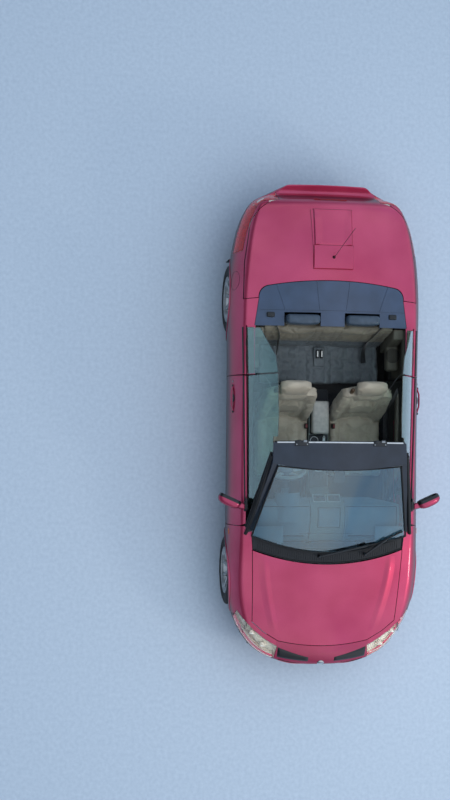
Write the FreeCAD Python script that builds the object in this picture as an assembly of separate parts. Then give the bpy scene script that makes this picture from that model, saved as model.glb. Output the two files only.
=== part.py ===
import FreeCAD, Part
import math
import os

V = FreeCAD.Vector

# Frame: +Z up, the nose points to -Y, the car's left side is +X, the ground is z = 0. Millimetres.

# Whole car
LENGTH = 4355
HALF_LENGTH = LENGTH / 2
WHEELBASE = 2522
FRONT_AXLE_Y = -1337.5
REAR_AXLE_Y = FRONT_AXLE_Y + WHEELBASE
FRONT_TRACK = 1518
REAR_TRACK = 1514

# Panels
SKIN = 26
WALL = 112
SHUT_GAP = 4
LID_GAP = 6

# Wheels
TYRE_R = 316
BEAD_R = 203
DISC_R = 140
DISC_T = 18
DISC_IN = -40
PAD_GAP = 6
SPINDLE_R = 14
PIN_R = 10
STEM_R = 10
SHAFT_R = 11
RUN_FIT = 0.05
ARCH_R = 368

# Number plates and jacking pads
PLATE_W = 330
PLATE_H = 96
PLATE_HOLES = 280
PLATE_SCREW_R = 3
JACK_PAD_Z = 182
JACK_PAD_Y = (-660, 600)

# Steering axis, from the lower ball joint to the strut top
BALL_X = 692
BALL_Z = 185
STRUT_TOP_X = 600
STRUT_TOP_Z = 790

LIP_W = 26
LIP_RISE = 6

# Shut lines, distances along Y
DOOR_FRONT_Y = -889
DOOR_REAR_Y = 446
SILL_TOP = 336
CABIN_REAR_Y = 886
LID_REAR_Z = 690
BUMPER_TOP_Z = 636
BUMPER_REAR_Z = 672
LAMP_LOW_Z = 572
FOG_R = 44
FRONT_PLATE_Z = 478
REAR_PLATE_Z = 540
RIB_RISE = 9

# Front seats, centre of each from the car's middle, and the console and tunnel between them
SEAT_X = 345
CONSOLE_HALF_W = 92
TUNNEL_HALF_W = 100
TUNNEL_T = 12
RAIL_Z = 400
REAR_RAIL_Z = 345
BOOT_FLOOR_Z = 420

# Rear head restraints and the deck's joints: x at the deck line and at the deck's rear edge
REST_X = 272
REST_HALF_W = 155
REST_FRONT_Y = 905
REST_BACK_Y = 998
DECK_LINE_Y = 1025
DECK_JOINTS = [(120, 165), (430, 560)]

# Body sections: y, floor height, half-width at the floor, greatest half-width, its height,
# shoulder half-width, shoulder height, crown height, shoulder radius
SECTIONS = [
    (-2174, 352, 170, 205, 500, 190, 562, 588, 20),
    (-2150, 300, 300, 365, 500, 335, 588, 620, 28),
    (-2085, 248, 455, 530, 500, 485, 612, 668, 42),
    (-1990, 216, 575, 655, 505, 602, 642, 714, 55),
    (-1850, 200, 675, 755, 520, 676, 694, 760, 65),
    (-1650, 195, 755, 835, 560, 742, 758, 814, 72),
    (-1337, 195, 806, 880, 600, 777, 832, 885, 75),
    (-1000, 195, 812, 880, 610, 780, 885, 955, 60),
    (-500, 200, 812, 874, 610, 786, 912, 985, 45),
    (100, 205, 812, 874, 610, 788, 930, 1000, 45),
    (700, 215, 812, 880, 615, 784, 946, 1020, 50),
    (1184, 225, 808, 884, 625, 774, 962, 1038, 60),
    (1600, 235, 772, 848, 630, 738, 958, 1034, 62),
    (1850, 245, 720, 788, 620, 690, 930, 1000, 58),
    (2000, 256, 648, 716, 604, 632, 892, 956, 50),
    (2066, 272, 585, 655, 588, 565, 800, 852, 42),
    (2118, 292, 490, 565, 570, 480, 706, 742, 36),
    (2174, 356, 245, 300, 540, 255, 610, 640, 25),
]


def box(x1, x2, y1, y2, z1, z2):
    return Part.makeBox(x2 - x1, y2 - y1, z2 - z1, V(x1, y1, z1))


def rod(start, end, radius):
    a, b = V(*start), V(*end)
    return Part.makeCylinder(radius, (b - a).Length, a, b - a)


def tube(start, end, radius, bore):
    return rod(start, end, radius).cut(rod(start, end, bore))


def mirrored(shape):
    return shape.mirror(V(0, 0, 0), V(1, 0, 0))


def both(shape):
    return [shape, mirrored(shape)]


def fused(pieces):
    whole = pieces[0].multiFuse(pieces[1:])
    return whole.removeSplitter()


def path_wire(points, place):
    """Points joined by lines; a point of three entries is reached by an arc: (mid, end, 'arc')."""
    edges = []
    here = place(*points[0])
    for point in points[1:] + [points[0]]:
        if len(point) == 3:
            end = place(*point[1])
            edges.append(Part.Arc(here, place(*point[0]), end).toShape())
        else:
            end = place(*point)
            if (end - here).Length < 1e-6:
                continue
            edges.append(Part.makeLine(here, end))
        here = end
    return Part.Wire(edges)


def plan_prism(points, z1, z2, grow=0):
    face = Part.Face(path_wire(points, lambda x, y: V(x, y, z1)))
    if grow:
        face = Part.Face(face.makeOffset2D(grow, 0).OuterWire)
    return face.extrude(V(0, 0, z2 - z1))


def side_prism(points, x1, x2):
    face = Part.Face(path_wire(points, lambda y, z: V(x1, y, z)))
    return face.extrude(V(x2 - x1, 0, 0))


def front_prism(points, y1, y2):
    face = Part.Face(path_wire(points, lambda x, z: V(x, y1, z)))
    return face.extrude(V(0, y2 - y1, 0))


def save(name, shape):
    solids = shape.Solids
    if len(solids) != 1:
        solids = sorted(solids, key=lambda s: -s.Volume)
        print(name, "solids", [(round(s.Volume / 1000), s.BoundBox) for s in solids])
    solids[0].exportStep("parts/" + name + ".step")


def section_wire(y, floor_z, floor_w, wide_w, wide_z, shoulder_w, shoulder_z, crown_z, radius):
    side_low_r = ((wide_w - floor_w) ** 2 + (wide_z - floor_z) ** 2) / (2 * (wide_w - floor_w))
    side_r = ((wide_w - shoulder_w) ** 2 + (shoulder_z - wide_z) ** 2) / (2 * (wide_w - shoulder_w))
    crown_r = (shoulder_w ** 2 + (crown_z - shoulder_z) ** 2) / (2 * (crown_z - shoulder_z))
    side_x, side_z = wide_w - side_r, wide_z
    crown_x, crown_cz = 0.0, crown_z - crown_r
    from_side, from_crown = side_r - radius, crown_r - radius
    dx, dz = crown_x - side_x, crown_cz - side_z
    apart = math.hypot(dx, dz)
    along = (from_side ** 2 - from_crown ** 2 + apart ** 2) / (2 * apart)
    off = math.sqrt(max(from_side ** 2 - along ** 2, 0))
    mid_x, mid_z = side_x + along * dx / apart, side_z + along * dz / apart
    options = [(mid_x + off * dz / apart, mid_z - off * dx / apart),
               (mid_x - off * dz / apart, mid_z + off * dx / apart)]
    cx, cz = max(options)

    def touch(ox, oz, r):
        k = r / math.hypot(cx - ox, cz - oz)
        return ox + (cx - ox) * k, oz + (cz - oz) * k

    def arc_mid(ox, oz, r, p, q):
        a = (math.atan2(p[1] - oz, p[0] - ox) + math.atan2(q[1] - oz, q[0] - ox)) / 2
        return ox + r * math.cos(a), oz + r * math.sin(a)

    low, wide = (floor_w, floor_z), (wide_w, wide_z)
    t1, t2 = touch(side_x, side_z, side_r), touch(crown_x, crown_cz, crown_r)
    mx, mz = (t1[0] + t2[0]) / 2 - cx, (t1[1] + t2[1]) / 2 - cz
    k = radius / math.hypot(mx, mz)
    corner = (cx + mx * k, cz + mz * k)
    right = [(low, arc_mid(wide_w - side_low_r, wide_z, side_low_r, low, wide), wide),
             (wide, arc_mid(side_x, side_z, side_r, wide, t1), t1),
             (t1, corner, t2)]

    def at(p, sign=1):
        return V(sign * p[0], y, p[1])

    edges = [Part.makeLine(at(low, -1), at(low))]
    for a, m, b in right:
        edges.append(Part.Arc(at(a), at(m), at(b)).toShape())
    edges.append(Part.Arc(at(t2), V(0, y, crown_z), at(t2, -1)).toShape())
    for a, m, b in reversed(right):
        edges.append(Part.Arc(at(b, -1), at(m, -1), at(a, -1)).toShape())
    return Part.Wire(edges)


def hull(inset=0, first_y=-9999, last_y=9999):
    wires = []
    for y, floor_z, floor_w, wide_w, wide_z, shoulder_w, shoulder_z, crown_z, radius in SECTIONS:
        if first_y <= y <= last_y:
            shift = -inset * (y / HALF_LENGTH) ** 3
            wires.append(section_wire(
                y + shift, floor_z + inset, floor_w - inset, wide_w - inset, wide_z,
                shoulder_w - inset, shoulder_z - 0.9 * inset, crown_z - inset, max(radius - 0.5 * inset, 12)))
    return Part.makeLoft(wires, True, False)


# Plan outlines
BONNET_PLAN = [(-683, -1112), ((0, -1238), (683, -1112), "arc"), (655, -1762), (548, -1856), (414, -1938),
               ((0, -1986), (-414, -1938), "arc"), (-548, -1856), (-655, -1762)]
BOOT_PLAN = [(-790, 1124), (-664, 1136), ((-640, 1212), (-572, 1247), "arc"), ((0, 1296), (572, 1247), "arc"),
             ((640, 1212), (664, 1136), "arc"), (790, 1124), (782, 1450), (732, 1790), ((650, 1930), (466, 2034), "arc"),
             (456, 2300), (-456, 2300), (-466, 2034), ((-650, 1930), (-732, 1790), "arc"), (-782, 1450)]
LAMP_PLAN = [(792, -1664), ((676, -1806), (420, -1996), "arc"), (440, -2110), (620, -2110), (850, -1900)]
COWL_PLAN = [(-683, -1106), ((0, -1232), (683, -1106), "arc"), (694, -976), ((0, -1102), (-694, -976), "arc")]
RIB_PLAN = [(-175, 1400), (175, 1400), (200, 1935), (-200, 1935)]
RIB_DIP_PLAN = [(-125, 1614), (125, 1614), (150, 1990), (-150, 1990)]
DECK_PLAN = [(-694, CABIN_REAR_Y), (694, CABIN_REAR_Y), (658, 1132), ((634, 1206), (570, 1241), "arc"),
             ((0, 1290), (-570, 1241), "arc"), ((-634, 1206), (-658, 1132), "arc")]
BIG = 1200


def wheel_cylinder(axle_y, radius, x1, x2):
    return rod((x1, axle_y, TYRE_R), (x2, axle_y, TYRE_R), radius)


def arches(radius=ARCH_R, front_x=470, rear_x=622):
    return both(wheel_cylinder(FRONT_AXLE_Y, radius, front_x, BIG)) + \
        both(wheel_cylinder(REAR_AXLE_Y, radius, rear_x, BIG))


def panel(source, region, neighbours=()):
    """The part of a skin that lies in a region, less its neighbours and its openings."""
    for cutter in neighbours:
        region = region.cut(cutter)
    return source.common(region)


def bonnet(shell):
    return panel(shell, plan_prism(BONNET_PLAN, 600, BIG))


def boot_lid(shell, body):
    lid = panel(shell, plan_prism(BOOT_PLAN, LID_REAR_Z, BIG))
    rib = hull(-RIB_RISE).common(plan_prism(RIB_PLAN, 900, BIG)).cut(plan_prism(RIB_DIP_PLAN, 800, BIG))
    return lid.fuse(rib.cut(hull(SKIN / 2)))


def headlamp(body, core):
    return panel(body.cut(core), plan_prism(LAMP_PLAN, LAMP_LOW_Z, 800))


def arch_lip(axle_y, y1, y2, low_z):
    """The proud rim that runs round a wheel opening."""
    ring = wheel_cylinder(axle_y, ARCH_R + LIP_W, 600, BIG).cut(wheel_cylinder(axle_y, ARCH_R, 500, BIG + 100))
    return hull(-LIP_RISE).common(ring.common(box(600, BIG, y1, y2, low_z, 800))).cut(hull(LIP_RISE))


def wing(shell):
    region = box(420, BIG, -1700, DOOR_FRONT_Y - LID_GAP, 150, BIG)
    region = region.fuse(box(420, BIG, -1980, -1700, BUMPER_TOP_Z + SHUT_GAP, BIG))
    skin = panel(shell, region, [
        box(0, 760, -2200, 0, 100, 500), plan_prism(BONNET_PLAN, 500, BIG, LID_GAP),
        plan_prism(LAMP_PLAN, LAMP_LOW_Z - SHUT_GAP, 830, SHUT_GAP), nose_plan_prism(0),
        plan_prism(COWL_PLAN, 500, BIG, SHUT_GAP), arches()[0]])
    return skin.fuse(arch_lip(FRONT_AXLE_Y, -1700, DOOR_FRONT_Y - LID_GAP, 262))


def nose_plan_prism(grow):
    """Where the bumper cover reaches up between the lamps to the bonnet."""
    return plan_prism([(-430, -2300), (430, -2300), (430, -1880), (-430, -1880)], BUMPER_TOP_Z, BIG, grow)


def front_bumper(shell):
    region = box(-BIG, BIG, -2300, -1704, 100, BUMPER_TOP_Z).fuse(nose_plan_prism(0))
    slot = front_prism([(110, 566), (395, 556), (395, 606), (110, 584)], -2300, -1990)
    lower = front_prism([(-440, 396), (440, 396), (385, 284), (-385, 284)], -2300, -2000)
    fog = rod((600, -2300, 352), (600, -1900, 352), FOG_R)
    lamp = plan_prism(LAMP_PLAN, LAMP_LOW_Z - SHUT_GAP, 830, SHUT_GAP)
    skin = panel(shell, region, [
        box(-640, 640, -1960, -1500, 100, 420), plan_prism(BONNET_PLAN, 500, BIG, LID_GAP), lower]
        + both(lamp) + both(slot) + both(fog) + arches())
    return with_plate_pad(skin, -1, FRONT_PLATE_Z)


def with_plate_pad(skin, way, z):
    """A flat pad for a number plate, with its two screw holes, on the bumper's outer face."""
    y1, y2 = sorted((way * (HALF_LENGTH - 50), way * HALF_LENGTH))
    pad = box(-PLATE_W / 2, PLATE_W / 2, y1, y2, z - PLATE_H / 2, z + PLATE_H / 2)
    for x in (-PLATE_HOLES / 2, PLATE_HOLES / 2):
        pad = pad.cut(rod((x, way * HALF_LENGTH * 1.1, z), (x, way * (HALF_LENGTH - 60), z), PLATE_SCREW_R))
    for x in (-PLATE_HOLES / 2, PLATE_HOLES / 2):
        skin = skin.cut(rod((x, way * HALF_LENGTH * 1.1, z), (x, way * (HALF_LENGTH - 60), z), PLATE_SCREW_R))
    return skin.fuse(pad)


def quarter(body, shell, cabin_core):
    rear = panel(shell, box(560, BIG, CABIN_REAR_Y, 2040, 150, BIG), [
        box(0, BIG, 1546, 2300, 100, BUMPER_REAR_Z + SHUT_GAP), plan_prism(BOOT_PLAN, 500, BIG, LID_GAP),
        plan_prism(DECK_PLAN, 500, BIG, SHUT_GAP), tail_lamp_space(SHUT_GAP), arches()[2],
        box(0, 760, CABIN_REAR_Y, 2300, 100, 500)])
    slot = glass_barrel(2).common(side_prism([(440, 892), (440, 1100), (890, 1100), (890, 892)], 500, 900))
    front = panel(body.cut(cabin_core), box(688, BIG, DOOR_REAR_Y + LID_GAP, CABIN_REAR_Y, SILL_TOP + 4, BIG),
                  [arches()[2], slot])
    lip = arch_lip(REAR_AXLE_Y, REAR_AXLE_Y - 400, 1545, 262)
    return front.fuse([rear, lip])


def tail_lamp_space(grow=0):
    outline = [(462, 2200), (462, 1960), (640, 1860), (700, 1562), (950, 1562), (950, 2200)]
    return plan_prism(outline, 700 - grow, 880 + grow, grow)


def tail_lamp(body, core):
    return panel(body.cut(core), tail_lamp_space(), [plan_prism(BOOT_PLAN, 500, BIG, LID_GAP)])


def rear_bumper(shell):
    pipe_notch = rod((-360, 1700, 277), (-360, 2300, 217), 46)
    skin = panel(shell, box(-BIG, BIG, 1550, 2300, 100, BUMPER_REAR_Z),
                 [box(-640, 640, 1400, 1900, 100, 400), pipe_notch] + arches())
    return with_plate_pad(skin, 1, REAR_PLATE_Z)


def rear_deck(shell):
    """The grey panels behind the rear seats, open where the head restraints stand."""
    recess = box(REST_X - REST_HALF_W - 8, REST_X + REST_HALF_W + 8, 800, REST_BACK_Y + 8, 700, BIG)
    deck = panel(shell, plan_prism(DECK_PLAN, 700, BIG), both(recess))
    return deck.cut(deck_grooves())


def deck_grooves():
    """The joints between the deck's flaps, a few millimetres wide and deep."""
    cuts = [box(-700, 700, DECK_LINE_Y - 2, DECK_LINE_Y + 2, 900, BIG)]
    for x1, x2 in DECK_JOINTS:
        cuts += both(plan_prism([(x1 - 2, DECK_LINE_Y), (x1 + 2, DECK_LINE_Y), (x2 + 2, 1400), (x2 - 2, 1400)],
                                900, BIG))
    grooves = cuts[0].fuse(cuts[1:])
    return grooves.cut(hull(5))


def door_wall(body, cabin_core):
    plan = [(700, -640), (752, -680), (752, -872), (800, DOOR_FRONT_Y), (BIG, DOOR_FRONT_Y),
            (BIG, DOOR_REAR_Y), (870, DOOR_REAR_Y), (700, DOOR_REAR_Y - 12)]
    wall = panel(body.cut(cabin_core), plan_prism(plan, SILL_TOP + 4, BIG))
    rest = side_prism([(-520, 600), (-470, 655), (300, 668), (352, 610), (300, 596)], 704, 775)
    pocket = side_prism([(-700, 352), (-700, 440), (60, 440), (100, 352)], 730, 775)
    return wall.fuse([rest, pocket])


# Side glass: a barrel along the car, through the belt and the roof line
GLASS_R = 1300
BELT_X, BELT_Z = 768, 920
ROOF_X, ROOF_Z = 556, 1345
GLASS_T = 5


def glass_barrel(extra=0):
    dx, dz = ROOF_X - BELT_X, ROOF_Z - BELT_Z
    chord = math.hypot(dx, dz)
    h = math.sqrt(GLASS_R ** 2 - (chord / 2) ** 2)
    cx = (BELT_X + ROOF_X) / 2 - h * dz / chord
    cz = (BELT_Z + ROOF_Z) / 2 + h * dx / chord
    outer = rod((cx, -1000, cz), (cx, 1100, cz), GLASS_R + extra)
    inner = rod((cx, -1100, cz), (cx, 1200, cz), GLASS_R - GLASS_T - extra)
    barrel = outer.cut(inner)
    barrel.rotate(V(BELT_X, DOOR_REAR_Y, 0), V(0, 0, 1), -1.3)
    return barrel


DOOR_GLASS = [(-742, 880), (-742, 968), (-268, 1290), (-100, 1290), (-100, 1335), (60, 1345), (438, 1345),
              (438, 880)]
QUARTER_GLASS = [(452, 900), (452, 1345), (600, 1325), (845, 1165), (875, 900)]


def door(body, cabin_core):
    slot = glass_barrel(2).common(side_prism([(-750, 872), (-750, 1100), (446, 1100), (446, 872)], 500, 900))
    return door_wall(body, cabin_core).cut(slot)


def door_glass():
    return glass_barrel().common(side_prism(DOOR_GLASS, 400, 900))


def quarter_glass():
    return glass_barrel().common(side_prism(QUARTER_GLASS, 400, 900))


def arc_band(z, side_x, side_y, centre_y, depth):
    points = [(-side_x, side_y), ((0, centre_y), (side_x, side_y), "arc"), (side_x, side_y + depth),
              ((0, centre_y + depth), (-side_x, side_y + depth), "arc")]
    return path_wire(points, lambda x, y: V(x, y, z))


def windscreen_glass():
    return Part.makeLoft([arc_band(932, 704, -976, -1126, 9), arc_band(1335, 545, -346, -380, 9)], True, True)


def rectangle(x1, x2, y1, y2, z):
    return Part.makePolygon([V(x1, y1, z), V(x2, y1, z), V(x2, y2, z), V(x1, y2, z), V(x1, y1, z)])


def windscreen_frame(body):
    pillar = Part.makeLoft([rectangle(694, 744, -1000, -896, 862), rectangle(545, 592, -330, -236, 1346)], True, True)
    crown = rod((0, -600, 1378 - 6500), (0, 100, 1378 - 6500), 6500)
    under = rod((0, -700, 1378 - 6500), (0, 200, 1378 - 6500), 6460)
    outline = [(-592, -330), ((0, -384), (592, -330), "arc"), (586, -166), ((578, -150), (562, -148), "arc"),
               ((0, -146), (-562, -148), "arc"), ((-578, -150), (-586, -166), "arc")]
    header = plan_prism(outline, 1300, 1400).common(crown).cut(under)
    frame = fused([header] + both(pillar.cut(body)))
    return frame.cut(windscreen_glass())


MIRROR_FRONT = [(836, 908), (840, 985), ((862, 1022), (905, 1028), "arc"), (975, 1022), ((1008, 1008), (1013, 965), "arc"),
                ((1008, 920), (975, 902), "arc")]
MIRROR_PLAN = [(830, -612), (830, -690), ((880, -728), (930, -722), "arc"), ((990, -705), (1013, -640), "arc"),
               (1013, -612)]


def mirror():
    """Door mirror: a rounded housing on a short arm, with its glass sunk into the rear face."""
    head = front_prism(MIRROR_FRONT, -760, -600).common(plan_prism(MIRROR_PLAN, 880, 1050))
    glass = front_prism([(850, 920), (854, 1008), (1000, 1008), (1000, 925)], -620, -600)
    arm = side_prism([(-736, 924), (-736, 962), (-690, 966), (-690, 928)], 744, 850)
    return fused([head.cut(glass), arm])


def wheelhouse(axle_y, inner_x, outer_x):
    shell = rod((inner_x, axle_y, TYRE_R), (outer_x, axle_y, TYRE_R), ARCH_R + 8)
    shell = shell.cut(rod((inner_x + 4, axle_y, TYRE_R), (BIG, axle_y, TYRE_R), ARCH_R + 4))
    return shell.cut(box(0, BIG, axle_y - 500, axle_y + 500, -200, 300))


def front_structure():
    """Bulkhead, front rails, strut towers, wheel houses and bumper beam."""
    bulkhead = side_prism([(-985, 200), (-1040, 420), (-1040, 820), (-1028, 820), (-1028, 424), (-973, 200)],
                          -690, 690)
    bulkhead = bulkhead.cut(box(-TUNNEL_HALF_W, TUNNEL_HALF_W, -1200, -900, 100, 420))
    rail = box(392, 462, -2000, -1010, RAIL_Z, RAIL_Z + 100).cut(box(398, 456, -2100, -900, RAIL_Z + 6, RAIL_Z + 94))
    plate = box(448, 668, FRONT_AXLE_Y - 90, FRONT_AXLE_Y + 90, 766, 778)
    plate = plate.cut(on_steer_axis(740, 810, STEM_R + RUN_FIT))
    wall = box(448, 460, FRONT_AXLE_Y - 90, -1034, 480, 778)
    house = wheelhouse(FRONT_AXLE_Y, 462, 690).cut(rod((602, FRONT_AXLE_Y, 600), (602, FRONT_AXLE_Y, 760), 48))
    house = house.cut(rod((440, FRONT_AXLE_Y, 318), (480, FRONT_AXLE_Y, 318), 52))
    foot = box(TUNNEL_HALF_W, 690, -985, -973, 186, 200)
    beam = box(-520, 520, -2022, -1996, RAIL_Z, RAIL_Z + 100)
    pieces = [bulkhead, beam]
    for piece in (rail, plate, wall, house, foot):
        pieces += both(piece)
    whole = fused(pieces)
    for arch in arches(ARCH_R, 468, 606)[:2]:
        whole = whole.cut(arch)
    return whole


def floor_pan(body):
    """Floor, tunnel, sills with jacking pads and the raised pan below the rear seat."""
    floor = box(TUNNEL_HALF_W - TUNNEL_T, 706, -972, 330, 186, 200)
    floor = floor.fuse(box(600, 706, 330, 812, 186, 200))
    sill = body.common(box(700, BIG, DOOR_FRONT_Y - 2, 784, 150, SILL_TOP))
    sill = sill.cut(box(716, 786, -1100, 900, 232, SILL_TOP - 18))
    sill = sill.fuse([box(735, 785, y - 40, y + 40, JACK_PAD_Z, 234) for y in JACK_PAD_Y])
    tunnel = side_prism([(-985, 190), (-985, 420), (-700, 360), (340, 345), (340, 190)],
                        -TUNNEL_HALF_W, TUNNEL_HALF_W)
    tunnel = tunnel.cut(side_prism([(-1100, 100), (-1100, 432), (-985, 408), (-700, 348), (360, 333), (360, 100)],
                                   TUNNEL_T - TUNNEL_HALF_W, TUNNEL_HALF_W - TUNNEL_T))
    pan = side_prism([(330, 186), (330, 200), (420, 330), (876, 338), (876, 326), (432, 318), (344, 186)],
                     -600, 600).cut(box(-85, 5, 300, 460, 150, 262))
    house_wall = box(590, 602, 330, 812, 186, 340)
    whole = fused([tunnel, pan] + both(floor) + both(sill) + both(house_wall))
    for arch in arches(ARCH_R + 8, 468, 590):
        whole = whole.cut(arch)
    return whole


def rear_structure(core):
    """Boot floor, wall behind the rear seat, rear rails, wheel houses and tail panel."""
    floor = side_prism([(878, 326), (878, 338), (980, 340), (1040, BOOT_FLOOR_Z), (2104, BOOT_FLOOR_Z),
                        (2104, BOOT_FLOOR_Z - 12), (1048, BOOT_FLOOR_Z - 12), (988, 328)], -600, 600)
    wall = side_prism([(880, 336), (990, 840), (1004, 840), (894, 336)], -600, 600)
    rail = box(470, 560, 980, 2104, REAR_RAIL_Z, BOOT_FLOOR_Z - 10)
    tail_panel = box(-600, 600, 2092, 2104, 300, 668)
    side = box(600, 612, 1540, 2060, REAR_RAIL_Z, 668)
    pieces = [floor, wall, tail_panel]
    house = wheelhouse(REAR_AXLE_Y, 596, 684).cut(rod((580, REAR_AXLE_Y, TYRE_R), (620, REAR_AXLE_Y, TYRE_R), 56))
    for piece in (rail, house, side):
        pieces += both(piece)
    whole = fused(pieces)
    for arch in arches(ARCH_R, 468, 606)[2:]:
        whole = whole.cut(arch)
    return whole.common(core)


def grille():
    back = front_prism([(-400, 610), (400, 610), (400, 290), (-400, 290)], -2040, -2028)
    return back


def cowl(body_low, core_low):
    return body_low.cut(core_low).common(plan_prism(COWL_PLAN, 700, BIG, -SHUT_GAP))


# Wheel, outboard is +X, axle through the origin
RIM_OUTER = [(-95, 213), (-88, 213), (-84, BEAD_R), (-50, 200), (-34, 184), (22, 184), (46, 200), (84, BEAD_R),
             (88, 213), (95, 213), (95, 204), (88, 195), (46, 190), (24, 175), (-36, 175), (-54, 191), (-88, 194),
             (-95, 204)]
TYRE_PROFILE = [(-83, 203.3), (-103, 262), (-98, 300), (-82, TYRE_R), (82, TYRE_R), (98, 300), (103, 262),
                (83, 203.3), (70, 205), (78, 300), (-78, 300), (-70, 205)]
TYRE_SIDES = 60
SPOKES = 10


def turned(profile):
    points = [V(x, 0, r) for x, r in profile]
    face = Part.Face(Part.makePolygon(points + [points[0]]))
    return face.revolve(V(0, 0, 0), V(1, 0, 0), 360)


def turned_flats(profile, sides):
    """The ring that a closed profile sweeps, in flats; each radius is that of the flats' middle."""
    half = math.pi / sides
    rings = []
    for x, r in profile:
        angles = [(2 * i + 1) * half for i in range(sides)]
        rings.append([V(x, r / math.cos(half) * math.sin(a), r / math.cos(half) * math.cos(a)) for a in angles])
    faces = []
    for k in range(len(rings)):
        near, far = rings[k - 1], rings[k]
        for i in range(sides):
            corners = [near[i - 1], near[i], far[i], far[i - 1], near[i - 1]]
            faces.append(Part.Face(Part.makePolygon(corners)))
    shell = Part.makeShell(faces)
    shell.sewShape()
    ring = Part.makeSolid(shell)
    if ring.Volume < 0:
        ring.reverse()
    return ring


def rim():
    barrel = turned(RIM_OUTER)
    disc = tube((DISC_IN, 0, 0), (DISC_IN + DISC_T, 0, 0), DISC_R, 62)
    hat = tube((DISC_IN, 0, 0), (26, 0, 0), 74, 62).fuse(tube((14, 0, 0), (26, 0, 0), 74, 20))
    hub = rod((-8, 0, 0), (58, 0, 0), 66)
    hub = hub.cut(rod((-8, 0, 0), (12, 0, 0), 40))
    pieces = [barrel, disc, hat, hub]
    for i in range(SPOKES):
        spoke = Part.makeLoft([rectangle(26, 60, -17, 17, 50), rectangle(30, 72, -11, 11, 120),
                               rectangle(40, 84, -13, 13, 193)], True, False)
        spoke.rotate(V(0, 0, 0), V(1, 0, 0), 360 * i / SPOKES)
        pieces.append(spoke)
    whole = fused(pieces)
    return whole.cut(rod((-100, 0, 0), (44, 0, 0), SPINDLE_R + RUN_FIT))


def placed(shape, x, y, z):
    moved = shape.copy()
    moved.translate(V(x, y, z))
    return moved


def caliper(x, y, z):
    """A block astride the front of the brake disc of the wheel centred on x, y, z."""
    inner, outer = x + DISC_IN - PAD_GAP, x + DISC_IN + DISC_T + PAD_GAP
    block = box(inner - 18, outer + 16, y - 160, y - 100, z - 50, z + 50)
    block = block.cut(rod((inner, y, z), (outer, y, z), DISC_R + PAD_GAP))
    return block.fuse(box(x - 100, inner - 10, y - 150, y - 30, z - 30, z + 30))


def steer_axis(z):
    k = (z - BALL_Z) / (STRUT_TOP_Z - BALL_Z)
    return BALL_X + (STRUT_TOP_X - BALL_X) * k


def on_steer_axis(z1, z2, radius):
    return rod((steer_axis(z1), FRONT_AXLE_Y, z1), (steer_axis(z2), FRONT_AXLE_Y, z2), radius)


def knuckle():
    """Hub carrier with spindle, ball pin, caliper, steering arm and strut, which turn together."""
    x, y, z = FRONT_TRACK / 2, FRONT_AXLE_Y, TYRE_R
    spindle = rod((x - 100, y, z), (x + 41, y, z), SPINDLE_R)
    carrier = rod((x - 100, y, z), (x - 66, y, z), 48)
    foot = Part.makeLoft([rectangle(x - 100, x - 68, y - 34, y + 34, 300),
                          rectangle(x - 96, x - 58, y - 22, y + 22, 226)], True, True)
    toe = box(x - 96, BALL_X + 13, y - 20, y + 20, 212, 230)
    pin = on_steer_axis(176, 222, PIN_R)
    neck = Part.makeLoft([rectangle(x - 100, x - 68, y - 34, y + 34, 330),
                          rectangle(x - 160, x - 120, y - 26, y + 26, 452)], True, True)
    clamp = box(x - 184, x - 118, y - 32, y + 32, 440, 520)
    strut = rod((600, y, 446), (STRUT_TOP_X + 3, y, 690), 24)
    stem = rod((STRUT_TOP_X + 3, y, 680), (steer_axis(756), y, 756), STEM_R)
    stem = stem.fuse(on_steer_axis(752, STRUT_TOP_Z, STEM_R))
    arm = box(x - 100, x - 72, y + 20, y + 132, 318, 340)
    return fused([spindle, carrier, foot, toe, pin, neck, clamp, strut, stem, arm, caliper(x, y, z)])


def front_subframe():
    """Cross member with the lower arms, whose bosses hold the ball pins."""
    cradle = box(-380, 380, -1250, -1150, 190, 250).cut(box(-372, 372, -1242, -1158, 198, 242))
    arm = plan_prism([(330, -1180), (345, -1180), (672, -1316), (690, FRONT_AXLE_Y), (672, -1359), (360, -1470),
                      (330, -1470), (330, -1430), (420, -1380), (420, -1290), (330, -1220)], 178, 198)
    boss = on_steer_axis(172, 206, 20)
    link = box(320, 372, -1480, -1150, 178, 214)
    post = box(396, 440, -1240, -1200, 244, RAIL_Z).fuse(box(372, 440, -1240, -1200, 200, 250))
    rack = rod((-430, -1206, 286), (430, -1206, 286), 24)
    seat_blocks = [box(x - 20, x + 20, -1226, -1186, 242, 280) for x in (-250, 250)]
    side = fused([arm, boss, link, post]).cut(on_steer_axis(160, 220, PIN_R + RUN_FIT))
    return fused([cradle, rack] + both(side) + seat_blocks)


def rear_axle():
    """Cross tube, trailing arms, springs, hub carriers with spindles and calipers."""
    x, y, z = REAR_TRACK / 2, REAR_AXLE_Y, TYRE_R
    beam = rod((-570, y - 230, 294), (570, y - 230, 294), 30)
    trail = side_prism([(y - 420, 236), (y - 420, 286), (y - 300, 316), (y - 120, 318), (y - 40, 350), (y + 50, 350),
                        (y + 50, 282), (y - 40, 282)], 562, 588)
    carrier = rod((580, y, z), (x - 66, y, z), 48)
    spindle = rod((x - 70, y, z), (x + 41, y, z), SPINDLE_R)
    cup = rod((515, y - 60, 262), (515, y - 60, 276), 52).fuse(box(515, 570, y - 84, y - 36, 262, 292))
    spring = rod((515, y - 60, 276), (515, y - 60, REAR_RAIL_Z), 40)
    side = fused([trail, carrier, spindle, caliper(x, y, z), cup, spring])
    return fused([beam] + both(side))


PIPE_R = 27
PIPE_PATH = [(-40, -1100, 236), (-40, 800, 214), (-40, 1010, 200), (-300, 1570, 290)]
TAIL_PATH = [(-360, 1850, 262), (-360, 2112, 236)]


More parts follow.
